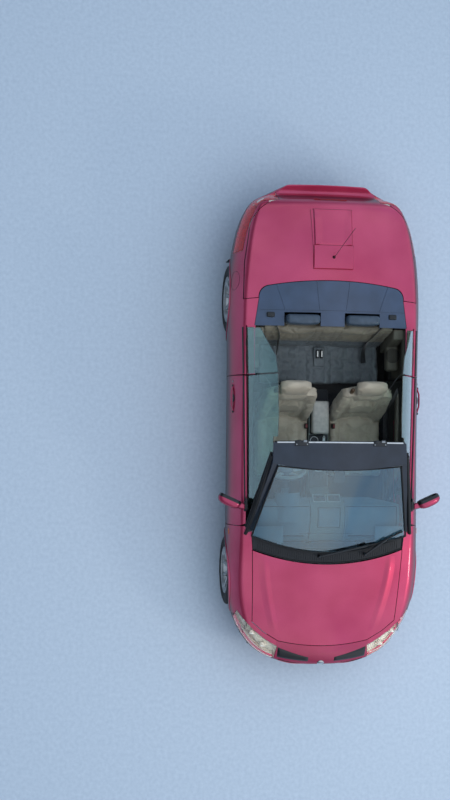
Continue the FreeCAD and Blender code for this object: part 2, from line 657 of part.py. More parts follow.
def exhaust():
    pieces = [rod(a, b, PIPE_R) for a, b in zip(PIPE_PATH, PIPE_PATH[1:])]
    pieces += [placed(Part.makeSphere(PIPE_R), *point) for point in PIPE_PATH[1:-1]]
    muffler = box(-420, 300, 1560, 1900, 240, 388)
    muffler = muffler.makeFillet(45, muffler.Edges)
    tail = rod(*TAIL_PATH, 32).cut(rod((-360, 2000, 247), (-360, 2130, 234), 28))
    hangers = [rod((x, 1730, 370), (x, 1730, BOOT_FLOOR_Z - 12), 6) for x in (-330, 210)]
    return fused(pieces + [muffler, tail] + hangers)


def fuel_tank():
    tank = box(-500, 500, 446, 840, 206, 318)
    tank = tank.makeFillet(28, tank.Edges)
    return tank.cut(box(-82, 2, 400, 900, 190, 262))


def engine_block():
    """Engine and gearbox as one block, with the final drive, the drive shafts and the mounts."""
    block = box(-330, 380, -1950, -1500, 300, 620)
    drive = rod((-160, -1400, 330), (160, -1400, 330), 98).fuse(box(-150, 150, -1520, -1380, 300, 428))
    pieces = [block, drive]
    for side in (1, -1):
        start, end = (side * 150, FRONT_AXLE_Y - 12, 322), (side * 618, FRONT_AXLE_Y, TYRE_R)
        pieces.append(rod(start, end, 13))
        for a, r1, r2 in ((170, 44, 24), (542, 24, 40)):
            pieces.append(Part.makeCone(r1, r2, 70, V(side * a, FRONT_AXLE_Y - 4, 319), V(side, 0, 0)))
    for x1, x2 in ((378, 392), (-392, -328)):
        pieces.append(box(x1, x2, -1760, -1680, 410, 490))
    return fused(pieces)


def dashboard():
    profile = [(-1028, 600), (-1028, 780), (-900, 844), ((-800, 870), (-700, 850), "arc"), (-640, 780),
               (-655, 700), (-720, 600)]
    board = side_prism(profile, -664, 664)
    plan = [(-664, -1028), (664, -1028), (664, -700), ((0, -610), (-664, -700), "arc")]
    board = board.common(plan_prism(plan, 500, 1000))
    hood = rod((WHEEL_X, -860, 800), (WHEEL_X, -600, 800), 116)
    hood = hood.cut(rod((WHEEL_X, -680, 800), (WHEEL_X, -580, 800), 104))
    hood = hood.common(box(-600, 0, -900, -500, 810, 1000))
    column = on_column(tube((0, 0, -300), (0, 0, -110), 34, SHAFT_R + RUN_FIT))
    bracket = box(WHEEL_X - 30, WHEEL_X + 30, -700, -560, 625, 720).cut(on_column(rod((0, 0, -400), (0, 0, 0), 30)))
    return fused([board.cut(on_column(rod((0, 0, -400), (0, 0, 0), 30))), hood, column, bracket])


def centre_console():
    stack = side_prism([(-680, 680), (-596, 520), (-560, 470), (240, 470), (240, 347), (-700, 361), (-985, 421),
                        (-985, 560), (-760, 600)], -CONSOLE_HALF_W, CONSOLE_HALF_W)
    stack = stack.cut(dashboard())
    rest = box(-78, 78, -60, 232, 470, 560)
    rest = rest.makeFillet(18, [e for e in rest.Edges if e.BoundBox.ZMin > 480])
    lever = rod((0, -330, 470), (0, -350, 560), 9).fuse(Part.makeSphere(24, V(0, -352, 575)))
    return fused([stack, rest, lever])


CUSHION_SIDE = [(-440, 330), (-452, 440), ((-436, 496), (-380, 506), "arc"), (100, 470), (130, 330)]
CUSHION_FRONT = [(-240, 330), (-240, 480), ((-224, 520), (-185, 505), "arc"), ((0, 470), (185, 505), "arc"),
                 ((224, 520), (240, 480), "arc"), (240, 330)]
BACK_SIDE = [(-60, 0), (75, 0), (70, 420), (45, 600), (30, 745), ((0, 770), (-40, 735), "arc"), (-45, 600),
             (-30, 520), (-75, 120)]
BACK_FRONT = [(-230, 0), (-240, 200), (-228, 470), ((-208, 545), (-140, 565), "arc"), (-120, 600), (-135, 720),
              ((0, 775), (135, 720), "arc"), (120, 600), (140, 565), ((208, 545), (228, 470), "arc"), (240, 200),
              (230, 0)]
BACK_PLAN = [(-240, 80), (-240, -40), ((-215, -80), (-175, -45), "arc"), ((0, -20), (175, -45), "arc"),
             ((215, -80), (240, -40), "arc"), (240, 80)]
RECLINE = 20


def seat():
    """A front seat centred on x = 0: cushion, reclined back with side bolsters and head restraint, runners."""
    cushion = side_prism(CUSHION_SIDE, -300, 300).common(front_prism(CUSHION_FRONT, -500, 200))
    back = side_prism(BACK_SIDE, -300, 300).common(front_prism(BACK_FRONT, -200, 200))
    back = back.common(plan_prism(BACK_PLAN, -50, 560).fuse(box(-200, 200, -80, 80, 520, 900)))
    back.rotate(V(0, 0, 0), V(1, 0, 0), -RECLINE)
    back = placed(back, 0, 108, 440)
    runners = both(box(150, 190, -380, 140, 200, 236).fuse(box(155, 185, -340, 100, 230, 340)))
    return fused([cushion, back] + runners)


def rear_bench():
    """Two bucket places in one bench."""
    side = [(420, 332), (400, 440), ((414, 474), (460, 478), "arc"), (740, 436), (895, 436), (872, 340)]
    front = [(-560, 300), (-560, 470), ((-300, 425), (-60, 462), "arc"), (60, 462), ((300, 425), (560, 470), "arc"),
             (560, 300)]
    cushion = side_prism(side, -600, 600).common(front_prism(front, 300, 950))
    back = side_prism([(760, 430), (895, 430), (944, 780), ((930, 872), (872, 888), "arc"), (848, 850)], -590, 590)
    return fused([cushion, back])


def rear_headrests():
    """The two head restraints on their hoops, joined by the beam below the deck."""
    pieces = [box(-420, 420, 957, 979, 800, 830)]
    for x in (-REST_X, REST_X):
        pad = box(x - REST_HALF_W, x + REST_HALF_W, REST_FRONT_Y, REST_BACK_Y - 8, 905, 1085)
        pad = pad.makeFillet(30, pad.Edges)
        legs = [rod((x + dx, 965, 820), (x + dx, 965, 960), 10) for dx in (-90, 90)]
        pieces += [pad] + legs
    return fused(pieces)


WHEEL_X, WHEEL_Y, WHEEL_Z = -SEAT_X - 15, -395, 720
COLUMN_TILT = 24


def on_column(shape):
    """Turns a piece drawn about +Z, which then points at the driver, onto the steering column."""
    shape = shape.copy()
    shape.rotate(V(0, 0, 0), V(1, 0, 0), -(90 - COLUMN_TILT))
    return placed(shape, WHEEL_X, WHEEL_Y, WHEEL_Z)


def steering_wheel():
    ring = Part.makeTorus(172, 15)
    hub = Part.makeCone(48, 62, 34, V(0, 0, -26))
    spokes = [box(-165, 165, -20, 14, -14, 2), box(-24, 24, -165, 0, -14, 2)]
    shaft = Part.makeCylinder(SHAFT_R, 300, V(0, 0, -316))
    return on_column(fused([ring, hub, shaft] + spokes))


def main():
    os.makedirs("parts", exist_ok=True)
    body = hull()
    core = hull(SKIN)
    shell = body.cut(core)
    cabin_core = hull(WALL, -1400, 1995)
    body_low = hull(14, -1850, 600)
    core_low = hull(34, -1850, 600)
    save("bonnet", bonnet(shell))
    save("boot_lid", boot_lid(shell, body))
    save("front_bumper", front_bumper(shell))
    save("rear_bumper", rear_bumper(shell))
    save("rear_deck", rear_deck(shell))
    save("cowl", cowl(body_low, core_low))
    lamp_core = hull(60, -2100, 2100)
    sided = {
        "wing": wing(shell),
        "quarter": quarter(body, shell, cabin_core),
        "headlamp": headlamp(body, lamp_core),
        "tail_lamp": tail_lamp(body, core),
        "door": door(body, cabin_core),
        "door_glass": door_glass(),
        "quarter_glass": quarter_glass(),
        "knuckle": knuckle(),
    }
    sided["mirror"] = mirror().cut(sided["door"])
    for name, shape in sided.items():
        save(name + "_left", shape)
        save(name + "_right", mirrored(shape))
    save("windscreen_frame", windscreen_frame(body))
    save("windscreen_glass", windscreen_glass())
    save("front_structure", front_structure())
    save("floor_pan", floor_pan(body))
    save("rear_structure", rear_structure(core))
    save("grille", grille())
    save("front_subframe", front_subframe())
    save("rear_axle", rear_axle())
    save("exhaust", exhaust())
    save("fuel_tank", fuel_tank())
    save("engine_block", engine_block())
    save("dashboard", dashboard())
    save("centre_console", centre_console())
    place = seat()
    save("seat_left", placed(place, SEAT_X, 0, 0))
    save("seat_right", placed(place, -SEAT_X, 0, 0))
    save("rear_bench", rear_bench())
    save("rear_headrests", rear_headrests())
    save("steering_wheel", steering_wheel())
    tyre, wheel = turned_flats(TYRE_PROFILE, TYRE_SIDES), rim()
    for corner, x, y in (("front_left", FRONT_TRACK / 2, FRONT_AXLE_Y), ("rear_left", REAR_TRACK / 2, REAR_AXLE_Y)):
        save("tyre_" + corner, placed(tyre, x, y, TYRE_R))
        save("rim_" + corner, placed(wheel, x, y, TYRE_R))
        other = corner.replace("left", "right")
        save("tyre_" + other, mirrored(placed(tyre, x, y, TYRE_R)))
        save("rim_" + other, mirrored(placed(wheel, x, y, TYRE_R)))


main()
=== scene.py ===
import bpy
import bmesh
import math
from contextlib import contextmanager
from mathutils import Matrix, Vector
from mathutils.bvhtree import BVHTree


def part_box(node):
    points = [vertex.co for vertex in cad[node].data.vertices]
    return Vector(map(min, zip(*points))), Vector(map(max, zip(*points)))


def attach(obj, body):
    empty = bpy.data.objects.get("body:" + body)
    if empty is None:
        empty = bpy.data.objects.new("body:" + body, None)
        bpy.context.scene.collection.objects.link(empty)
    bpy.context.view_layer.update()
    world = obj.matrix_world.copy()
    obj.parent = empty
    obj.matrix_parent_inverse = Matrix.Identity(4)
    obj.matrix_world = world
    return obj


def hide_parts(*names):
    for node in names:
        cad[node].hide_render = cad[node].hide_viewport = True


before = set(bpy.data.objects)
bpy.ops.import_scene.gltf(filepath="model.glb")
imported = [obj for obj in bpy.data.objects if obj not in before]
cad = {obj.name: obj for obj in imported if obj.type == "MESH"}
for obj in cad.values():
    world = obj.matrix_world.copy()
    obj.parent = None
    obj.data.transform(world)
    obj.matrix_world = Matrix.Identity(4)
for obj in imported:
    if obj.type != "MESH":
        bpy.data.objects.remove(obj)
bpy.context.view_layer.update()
sides = (("left", 1), ("right", -1))
corners = ("front_left", "front_right", "rear_left", "rear_right")
print("frame loaded")


def linear(hexColour):
    # sRGB hex to the linear values that the shaders want
    parts = [int(hexColour[i:i + 2], 16) / 255 for i in (1, 3, 5)]
    return [p / 12.92 if p <= 0.04045 else ((p + 0.055) / 1.055) ** 2.4 for p in parts] + [1.0]


def addNode(tree, kind, settings, links):
    # properties start with a small letter, sockets with a capital or are numbers
    made = tree.nodes.new(kind)
    for name, value in settings.items():
        if isinstance(name, int) or name[0].isupper():
            made.inputs[name].default_value = value
        else:
            setattr(made, name, value)
    for name, source in links.items():
        tree.links.new(source, made.inputs[name])
    return made


def perMetre(millimetres):
    # texture scale whose features are about this many millimetres apart
    return 1000 / millimetres


# camera at the photograph's place above the car
cameraView = {"place": (-2.559, -0.16, 11.897), "turn": (0.033, -0.146, 0.009), "lens": 56.4}
photoCamera = bpy.data.objects.new("photoCamera", bpy.data.cameras.new("photoCamera"))
photoCamera.location = cameraView["place"]
photoCamera.rotation_euler = cameraView["turn"]
photoCamera.data.lens = cameraView["lens"]
photoCamera.data.sensor_width = 36
bpy.context.collection.objects.link(photoCamera)
bpy.context.scene.camera = photoCamera


# materials
def startMaterial(name):
    made = bpy.data.materials.new(name)
    made.use_nodes = True
    tree = made.node_tree
    place = addNode(tree, "ShaderNodeTexCoord", {}, {}).outputs["Object"]
    return made, tree, tree.nodes["Principled BSDF"], place


def colourBetween(tree, amount, dark, light):
    ramp = addNode(tree, "ShaderNodeValToRGB", {}, {"Fac": amount})
    ramp.color_ramp.elements[0].position = 0.3
    ramp.color_ramp.elements[0].color = linear(dark)
    ramp.color_ramp.elements[1].position = 0.7
    ramp.color_ramp.elements[1].color = linear(light)
    return ramp.outputs["Color"]


def linkTo(shader, socket, node):
    shader.id_data.links.new(node.outputs[0], shader.inputs[socket])


def setSockets(shader, sockets):
    for socket, value in sockets.items():
        shader.inputs[socket].default_value = value


def plainFinish(name, dark, light, mottle, rough, sockets, grain=None):
    # colours mottled at one size, a roughness range, and a grain of one size and depth
    made, tree, shader, place = startMaterial(name)
    patches = addNode(tree, "ShaderNodeTexNoise", {"Scale": perMetre(mottle), "Detail": 4.0},
        {"Vector": place})
    tree.links.new(colourBetween(tree, patches.outputs["Fac"], dark, light), shader.inputs["Base Color"])
    linkTo(shader, "Roughness", addNode(tree, "ShaderNodeMapRange", {3: rough[0], 4: rough[1]},
            {0: patches.outputs["Fac"]}))
    if grain:
        kind, size, depth = grain
        if kind == "cells":
            texture = addNode(tree, "ShaderNodeTexVoronoi", {"Scale": perMetre(size)}, {"Vector": place})
        else:
            texture = addNode(tree, "ShaderNodeTexNoise", {"Scale": perMetre(size), "Detail": 2.0},
                {"Vector": place})
        linkTo(shader, "Normal", addNode(tree, "ShaderNodeBump", {"Strength": 1.0, "Distance": depth / 1000},
                {"Height": texture.outputs[0]}))
    setSockets(shader, sockets)
    return made


# each finish: its two colours, mottle in mm, range of roughness, other sockets, then its grain, of
# cells or noise, with its size and depth in mm
finishes = {
    # moulded polypropylene, fine spark-eroded grain, greys a little in the sun
    "mouldedPolypropylene": ("#15161a", "#1d1e22", 60, (0.45, 0.6), {"IOR": 1.49}, ("noise", 1.6, 0.12)),
    # smooth polycarbonate-ABS painted satin black, as on mirror stalks and wiper arms
    "satinBlack": ("#0d0e11", "#14151a", 80, (0.25, 0.35),
        {"IOR": 1.5, "Coat Weight": 0.3, "Coat Roughness": 0.2}),
    # baked black enamel on the windscreen frame, glossy like the body paint
    "blackEnamel": ("#1b222e", "#232b39", 120, (0.3, 0.4),
        {"IOR": 1.45, "Coat Weight": 0.35, "Coat Roughness": 0.05}),
    # charcoal paint on the pressed deck panels, satin; its blue tint is a painted reflection of the sky
    "charcoalDeck": ("#2d3d55", "#364864", 150, (0.3, 0.38),
        {"IOR": 1.5, "Coat Weight": 0.5, "Coat Roughness": 0.15}),
    # sprayed rubberised underseal over zinc-coated steel, rough as orange skin, with road dust
    "underseal": ("#1a1a1b", "#2c2a28", 90, (0.7, 0.9), {"IOR": 1.5}, ("cells", 7, 1.0)),
    # extruded EPDM rubber of seals and wiper blades
    "rubberSeal": ("#0b0b0c", "#111113", 30, (0.5, 0.65), {"IOR": 1.52}, ("noise", 1.0, 0.05)),
    # cast aluminium wheel with silver enamel and clear lacquer, brake dust in its corners
    "silverWheel": ("#a9abac", "#c3c5c6", 45, (0.28, 0.4), {"Metallic": 0.85, "Coat Weight": 0.6},
        ("noise", 2.5, 0.03)),
    # grey cast iron of knuckles and engine, sand-cast grain with a rust bloom
    "greyCastIron": ("#2a2624", "#453c36", 40, (0.6, 0.8), {"Metallic": 0.4}, ("noise", 3, 0.5)),
    # aluminised steel tube of the exhaust, heat-browned in patches
    "aluminisedSteel": ("#6d655c", "#8f8a84", 120, (0.4, 0.6), {"Metallic": 0.9}, ("noise", 4, 0.1)),
    # black-painted pressed steel of the subframe
    "pressedSteel": ("#1d1d1e", "#2a2928", 60, (0.5, 0.7), {"Metallic": 0.2}, ("noise", 5, 0.2)),
    # bright chromium plate on small trim
    "chromePlate": ("#cfd2d4", "#dcdfe0", 30, (0.06, 0.12), {"Metallic": 1.0}),
    # pale lamp reflector, vacuum-metallised ABS drawn mostly as a colour: its pale cream is painted light
    # that stands in for the bowl's shine behind the lens
    "lampReflector": ("#e4e1d6", "#f2efe7", 25, (0.22, 0.34), {"Metallic": 0.2}),
    # slush-moulded PVC skin of the dashboard top with a leather-like grain; its soft blue-grey is painted
    # light, drawn pale to make up for the light that the windscreen keeps off it
    "softDash": ("#6f838e", "#7b8f9a", 120, (0.55, 0.68), {"IOR": 1.5}, ("cells", 1.8, 0.06)),
    # hard moulded ABS of the lower dashboard and console, pale grey-beige, very fine grain
    "stoneAbs": ("#76827f", "#83908e", 90, (0.42, 0.55), {"IOR": 1.53}, ("noise", 1.5, 0.06)),
    # darker moulded ABS for switches, vents and the instrument hood
    "darkAbs": ("#17181b", "#1f2124", 50, (0.35, 0.5), {"IOR": 1.53}, ("noise", 1.5, 0.05)),
    # dark grained vinyl of the door cappings and side trims
    "darkVinyl": ("#3f3f3c", "#4a4a46", 100, (0.5, 0.62), {"IOR": 1.5}, ("cells", 1.8, 0.15)),
    # foam-backed grey-brown vinyl of the trims beside the rear seat
    "sideVinyl": ("#625f54", "#706c60", 100, (0.5, 0.62), {"IOR": 1.5}, ("cells", 1.8, 0.15)),
    # injection-moulded door trim, grey-beige vinyl
    "doorVinyl": ("#7d7a6e", "#8b877a", 110, (0.5, 0.62), {"IOR": 1.5}, ("cells", 1.8, 0.15)),
    # needle-felt carpet, matted loops
    "needleCarpet": ("#1e1f21", "#34353a", 6, (0.9, 1.0), {"Sheen Weight": 0.3}, ("noise", 2.0, 1.2)),
    # rear seat hide, dark taupe, wiped satin
    "taupeHide": ("#555c61", "#61676a", 35, (0.42, 0.58), {"IOR": 1.48, "Sheen Weight": 0.1},
        ("cells", 1.6, 0.18)),
    # blue-black hide on the rear restraints
    "blackHide": ("#34414f", "#425060", 40, (0.35, 0.5), {"IOR": 1.48, "Coat Weight": 0.15},
        ("cells", 1.6, 0.15)),
    # nylon belt webbing, fine ribs across the strap
    "beltWebbing": ("#101113", "#191a1d", 3, (0.6, 0.75), {"Sheen Weight": 0.25}, ("noise", 1.4, 0.4)),
    # mirror glass, silvered behind
    "silveredGlass": ("#b9c1c8", "#c2cad0", 200, (0.02, 0.05), {"Metallic": 1.0}),
    # galvanised fasteners, brake lines and belt buckle tongues
    "zincSteel": ("#8b8d8f", "#a6a8aa", 15, (0.3, 0.45), {"Metallic": 0.9}, ("noise", 2, 0.05)),
    # blank number plate, pale retroreflective film on aluminium
    "plateFilm": ("#d2d4d2", "#dddfdd", 60, (0.3, 0.4), {"IOR": 1.5}, ("cells", 3, 0.04)),
    # instrument display, dark glossy polycarbonate
    "darkDisplay": ("#0a0d12", "#10141b", 50, (0.08, 0.15), {"IOR": 1.58, "Coat Weight": 0.5}),
    # moulded brown ABS of the seat release levers
    "brownAbs": ("#4c3a2c", "#5c4735", 12, (0.35, 0.5), {"IOR": 1.53}, ("noise", 1.2, 0.05)),
    # satin chromed ABS of the vent frames and wheel spokes
    "brightTrim": ("#c6cacc", "#d8dbdc", 40, (0.25, 0.35), {"Metallic": 0.5}),
    # pale grey hide over foam on the armrest and visors
    "paleGreyHide": ("#9f9f9b", "#b3b2ac", 30, (0.45, 0.6), {"IOR": 1.48}, ("cells", 1.6, 0.15)),
    # red ABS release buttons of the belt buckles
    "redButton": ("#5e1012", "#6c1617", 8, (0.35, 0.45), {"IOR": 1.53}),
    # white buckle release faces
    "whiteAbs": ("#d9d9d4", "#e6e6e1", 10, (0.35, 0.5), {"IOR": 1.53}),
    # orange polycarbonate of the side repeaters
    "amberLens": ("#b8560e", "#cc6a18", 20, (0.1, 0.2), {"IOR": 1.58, "Coat Weight": 0.6}),
}
surface = {name: plainFinish(name, *look) for name, look in finishes.items()}


def lacquered(name, dark, light, metallic):
    # metallic base coat under clear lacquer: pale seen from above, deep at grazing angles, where a dark
    # crimson is painted in as shade on the car's sides; flakes drawn coarser than the real tenth of a
    # millimetre so that they show
    made, tree, shader, place = startMaterial(name)
    flakes = addNode(tree, "ShaderNodeTexVoronoi", {"Scale": perMetre(1.6)}, {"Vector": place})
    clouds = addNode(tree, "ShaderNodeTexNoise", {"Scale": perMetre(420), "Detail": 2.0}, {"Vector": place})
    mixed = addNode(tree, "ShaderNodeMix", {"data_type": "FLOAT", "Factor": 0.35},
        {2: clouds.outputs["Fac"], 3: flakes.outputs["Distance"]})
    # the flakes lie flat, so the colour falls off towards the edge of what is seen; the dark crimson mixed in
    # there is also painted shade
    edge = addNode(tree, "ShaderNodeLayerWeight", {"Blend": 0.5}, {})
    flopAndShade = addNode(tree, "ShaderNodeMapRange", {"interpolation_type": "SMOOTHSTEP", 1: 0.55, 2: 0.9},
        {0: edge.outputs["Facing"]})
    # painted shade: dark crimson mixed into the base colour where the surface is seen edge-on
    shadedBase = addNode(tree, "ShaderNodeMix", {"data_type": "RGBA", 7: linear("#360e1a")},
        {0: flopAndShade.outputs[0], 6: colourBetween(tree, mixed.outputs[0], dark, light)})
    tree.links.new(shadedBase.outputs[2], shader.inputs["Base Color"])
    peel = addNode(tree, "ShaderNodeTexNoise", {"Scale": perMetre(9), "Detail": 1.0}, {"Vector": place})
    skin = addNode(tree, "ShaderNodeBump", {"Strength": 0.35, "Distance": 0.00006},
        {"Height": peel.outputs["Fac"]})
    linkTo(shader, "Coat Normal", skin)
    for socket, fromAbove, atTheEdge in (("Metallic", metallic, 0.15), ("Coat Weight", 0.9, 0.3)):
        linkTo(shader, socket, addNode(tree, "ShaderNodeMapRange", {3: fromAbove, 4: atTheEdge},
                {0: flopAndShade.outputs[0]}))
    # painted shade: the dark red edge tint keeps the sides dark at grazing angles
    setSockets(shader, {"Roughness": 0.38, "Specular Tint": linear("#7a1c34"), "Coat Roughness": 0.02,
            "Coat IOR": 1.5})
    return made


surface["bodyPaint"] = lacquered("crimsonLacquer", "#bc375a", "#d85176", 0.72)
surface["plasticPaint"] = lacquered("crimsonLacquerOnPlastic", "#ac3153", "#c6486c", 0.7)


def glazing(name, colour, roughness, ior, shine=0.5, film=0.0, sheen="#ffffff"):
    # float glass or a clear lens: sharp highlights, tinted through its body
    made, tree, shader, place = startMaterial(name)
    haze = addNode(tree, "ShaderNodeTexNoise", {"Scale": perMetre(180), "Detail": 5.0}, {"Vector": place})
    wiped = addNode(tree, "ShaderNodeMapRange", {3: roughness, 4: roughness + 0.012},
        {0: haze.outputs["Fac"]})
    linkTo(shader, "Roughness", wiped)
    setSockets(shader, {"Base Color": linear(colour), "Transmission Weight": 1.0, "IOR": ior,
            "Specular IOR Level": shine, "Specular Tint": linear(sheen), "Coat Weight": film,
            "Coat Roughness": 0.01, "Coat IOR": 2.1})
    return made


# toughened side glass with the usual green tint, laminated windscreen with a heat-reflecting film
surface["sideGlass"] = glazing("tintedSideGlass", "#b2e0d0", 0.02, 1.7, 1.0, 0.8, "#b8ecda")
surface["screenGlass"] = glazing("laminatedScreen", "#b8dae6", 0.02, 1.6, 1.0, 0.7, "#98cef0")
# clear polycarbonate of the headlamps, slightly hazed by the sun
surface["clearLens"] = glazing("hazedPolycarbonate", "#f3f1ea", 0.04, 1.4)
# red acrylic of the tail lamps
surface["redLens"] = glazing("redAcrylic", "#f23644", 0.03, 1.45)


def creasedHide(name, dark, light):
    # front seat hide: fine pores, soft wrinkles across, grey dirt where it is rubbed
    made, tree, shader, place = startMaterial(name)
    pores = addNode(tree, "ShaderNodeTexVoronoi", {"Scale": perMetre(2.0)}, {"Vector": place})
    soil = addNode(tree, "ShaderNodeTexNoise", {"Scale": perMetre(130), "Detail": 6.0}, {"Vector": place})
    tree.links.new(colourBetween(tree, soil.outputs["Fac"], dark, light), shader.inputs["Base Color"])
    linkTo(shader, "Roughness", addNode(tree, "ShaderNodeMapRange", {3: 0.42, 4: 0.62},
            {0: soil.outputs["Fac"]}))
    fine = addNode(tree, "ShaderNodeBump", {"Strength": 1.0, "Distance": 0.0003},
        {"Height": pores.outputs["Distance"]})
    across = addNode(tree, "ShaderNodeMapping", {"Scale": (0.4, 1.6, 1.6)}, {"Vector": place})
    folds = addNode(tree, "ShaderNodeTexNoise", {"Scale": perMetre(42), "Detail": 2.0, "Distortion": 1.2},
        {"Vector": across.outputs["Vector"]})
    creases = addNode(tree, "ShaderNodeBump", {"Strength": 1.0, "Distance": 0.0035},
        {"Height": folds.outputs["Fac"], "Normal": fine.outputs["Normal"]})
    linkTo(shader, "Normal", creases)
    setSockets(shader, {"IOR": 1.48, "Sheen Weight": 0.12})
    return made


surface["beigeHide"] = creasedHide("beigeSeatHide", "#9a9080", "#b5ab99")
surface["rearTopHide"] = creasedHide("rearTopHide", "#6d675a", "#7e7869")


def vulcanised():
    # carbon-black tyre rubber: matt, dusty grey in the grooves, waved a little by the mould
    made = plainFinish("tyreRubber", "#141414", "#212120", 55, (0.65, 0.85), {"IOR": 1.52},
        ("noise", 1.8, 0.1))
    tree = made.node_tree
    shader = tree.nodes["Principled BSDF"]
    place = tree.nodes["Texture Coordinate"].outputs["Object"]
    wave = addNode(tree, "ShaderNodeTexNoise", {"Scale": perMetre(12), "Detail": 3.0, "Distortion": 0.6},
        {"Vector": place})
    grain = shader.inputs["Normal"].links[0].from_socket
    linkTo(shader, "Normal", addNode(tree, "ShaderNodeBump", {"Strength": 1.0, "Distance": 0.0003},
            {"Height": wave.outputs["Fac"], "Normal": grain}))
    return made


surface["tyreRubber"] = vulcanised()


def turnedDisc():
    # brake disc, lathe-turned grey iron polished by the pads: fine mottle, bright
    made, tree, shader, place = startMaterial("turnedDisc")
    rings = addNode(tree, "ShaderNodeTexNoise", {"Scale": perMetre(3), "Detail": 2.0}, {"Vector": place})
    tree.links.new(colourBetween(tree, rings.outputs["Fac"], "#5c5a58", "#807e7c"),
        shader.inputs["Base Color"])
    setSockets(shader, {"Metallic": 0.95, "Roughness": 0.35})
    return made


surface["turnedDisc"] = turnedDisc()
print("materials made")


# every carried-over CAD node gets the finish of the real piece
dressing = {
    "bodyPaint": ["bonnet", "boot_lid", "wing", "quarter", "door"],
    "plasticPaint": ["front_bumper", "rear_bumper", "mirror"],
    "underseal": ["front_structure", "floor_pan", "rear_structure"],
    "charcoalDeck": ["rear_deck"],
    "mouldedPolypropylene": ["cowl", "grille", "fuel_tank"],
    "blackEnamel": ["windscreen_frame"],
    "screenGlass": ["windscreen_glass"],
    "sideGlass": ["door_glass", "quarter_glass"],
    "clearLens": ["headlamp"],
    "redLens": ["tail_lamp"],
    "pressedSteel": ["front_subframe", "rear_axle"],
    "aluminisedSteel": ["exhaust"],
    "greyCastIron": ["engine_block", "knuckle"],
    "silverWheel": ["rim"],
    "tyreRubber": ["tyre"],
    "beigeHide": ["seat"],
    "taupeHide": ["rear_bench"],
    "blackHide": ["rear_headrests"],
    "softDash": ["dashboard", "steering_wheel"],
    "stoneAbs": ["centre_console"],
}
for finishName, kinds in dressing.items():
    for nodeName, piece in cad.items():
        endings = [e for e in ("_left", "_right") if nodeName.endswith(e)]
        stem = nodeName.removesuffix(endings[0]) if endings else nodeName
        stem = stem.removesuffix("_front").removesuffix("_rear") if endings else stem
        if stem in kinds:
            piece.data.materials.clear()
            piece.data.materials.append(surface[finishName])


def flare(y):
    # how far the cabin's walls have drawn apart at y, measured from the door's rear edge
    return 0.0227 * (y - 0.446)


# inner faces of doors and quarters are dark inside the cabin, as under their trims
for name, side in sides:
    for stem in ("door_", "quarter_"):
        mesh = cad[stem + name].data
        mesh.materials.append(surface["darkVinyl"])
        for face in mesh.polygons:
            x, y, z = face.center
            reach = abs(x) - flare(y)
            inward = face.normal.x * side < -0.12 and reach < 0.775
            belt = face.normal.z > 0.5 and 0.7 < z < 0.95 and reach < 0.764 and y < 0.87
            jamb = stem == "quarter_" and face.normal.y < -0.5 and reach < 0.742 and y < 0.6
            if inward or belt or jamb:
                face.material_index = 1
    mesh = cad["wing_" + name].data
    mesh.materials.append(surface["softDash"])
    for face in mesh.polygons:
        spots = [mesh.vertices[i].co for i in face.vertices]
        if all(abs(v.x) < 0.712 and -1.14 < v.y < -0.88 and v.z > 0.6 for v in spots):
            face.material_index = 1
print("CAD nodes dressed")
# making pieces
down = (0, 0, -1)
doubles = 0.00002


def settle(name, shape, finishes, body="body", hides=(), sharpAt=35):
    # a finished bmesh becomes an object at the origin that rides on its CAD body
    bmesh.ops.remove_doubles(shape, verts=shape.verts, dist=doubles)
    bmesh.ops.recalc_face_normals(shape, faces=shape.faces)
    mesh = bpy.data.meshes.new(name)
    shape.to_mesh(mesh)
    shape.free()
    return settleMesh(name, mesh, finishes, body, hides, sharpAt)


def settleMesh(name, mesh, finishes, body="body", hides=(), sharpAt=35):
    for finishName in finishes:
        mesh.materials.append(surface[finishName])
    mesh.shade_smooth()
    mesh.set_sharp_from_angle(angle=math.radians(sharpAt))
    return placeOn(body, name, mesh, hides)


def placeOn(body, name, data, hides):
    made = bpy.data.objects.new(name, data)
    bpy.context.collection.objects.link(made)
    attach(made, body)
    if hides:
        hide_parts(*hides)
    return made


@contextmanager
def inFinish(shape, index):
    # faces made inside get another of the piece's finishes
    before = len(shape.faces)
    yield
    shape.faces.ensure_lookup_table()
    for face in shape.faces[before:]:
        face.material_index = index


def roundEdges(shape, edges, rounding, segments):
    return bmesh.ops.bevel(shape, geom=edges, offset=rounding, offset_type="OFFSET", affect="EDGES",
        segments=segments, profile=0.5, material=-1)["verts"]


def edgesOf(verts):
    return list({e for v in verts for e in v.link_edges})


def addBlock(shape, low, high, rounding=0.0, segments=2, turn=None):
    # a box between two opposite corners with rounded edges, turned about its own middle
    low, high = Vector(low), Vector(high)
    size = [abs(s) for s in high - low]
    place = Matrix.Translation((low + high) / 2) @ (turn or Matrix.Identity(4)) @ Matrix.Diagonal((*size, 1))
    verts = bmesh.ops.create_cube(shape, size=1, matrix=place)["verts"]
    if rounding:
        roundEdges(shape, edgesOf(verts), rounding, segments)


def addBlockAt(shape, middle, half, rounding=0.0, segments=2, turn=None):
    middle, half = Vector(middle), Vector(half)
    addBlock(shape, middle - half, middle + half, rounding, segments, turn)


def addOutline(shape, points, shift, rounding=0.0, segments=2):
    # a closed outline pushed along shift into a solid, its edges rounded
    face = shape.faces.new([shape.verts.new(p) for p in points])
    made = bmesh.ops.extrude_face_region(shape, geom=[face])["geom"]
    verts = [g for g in made if isinstance(g, bmesh.types.BMVert)]
    bmesh.ops.translate(shape, verts=verts, vec=shift)
    verts += list(face.verts)
    if rounding:
        roundEdges(shape, edgesOf(verts), rounding, segments)


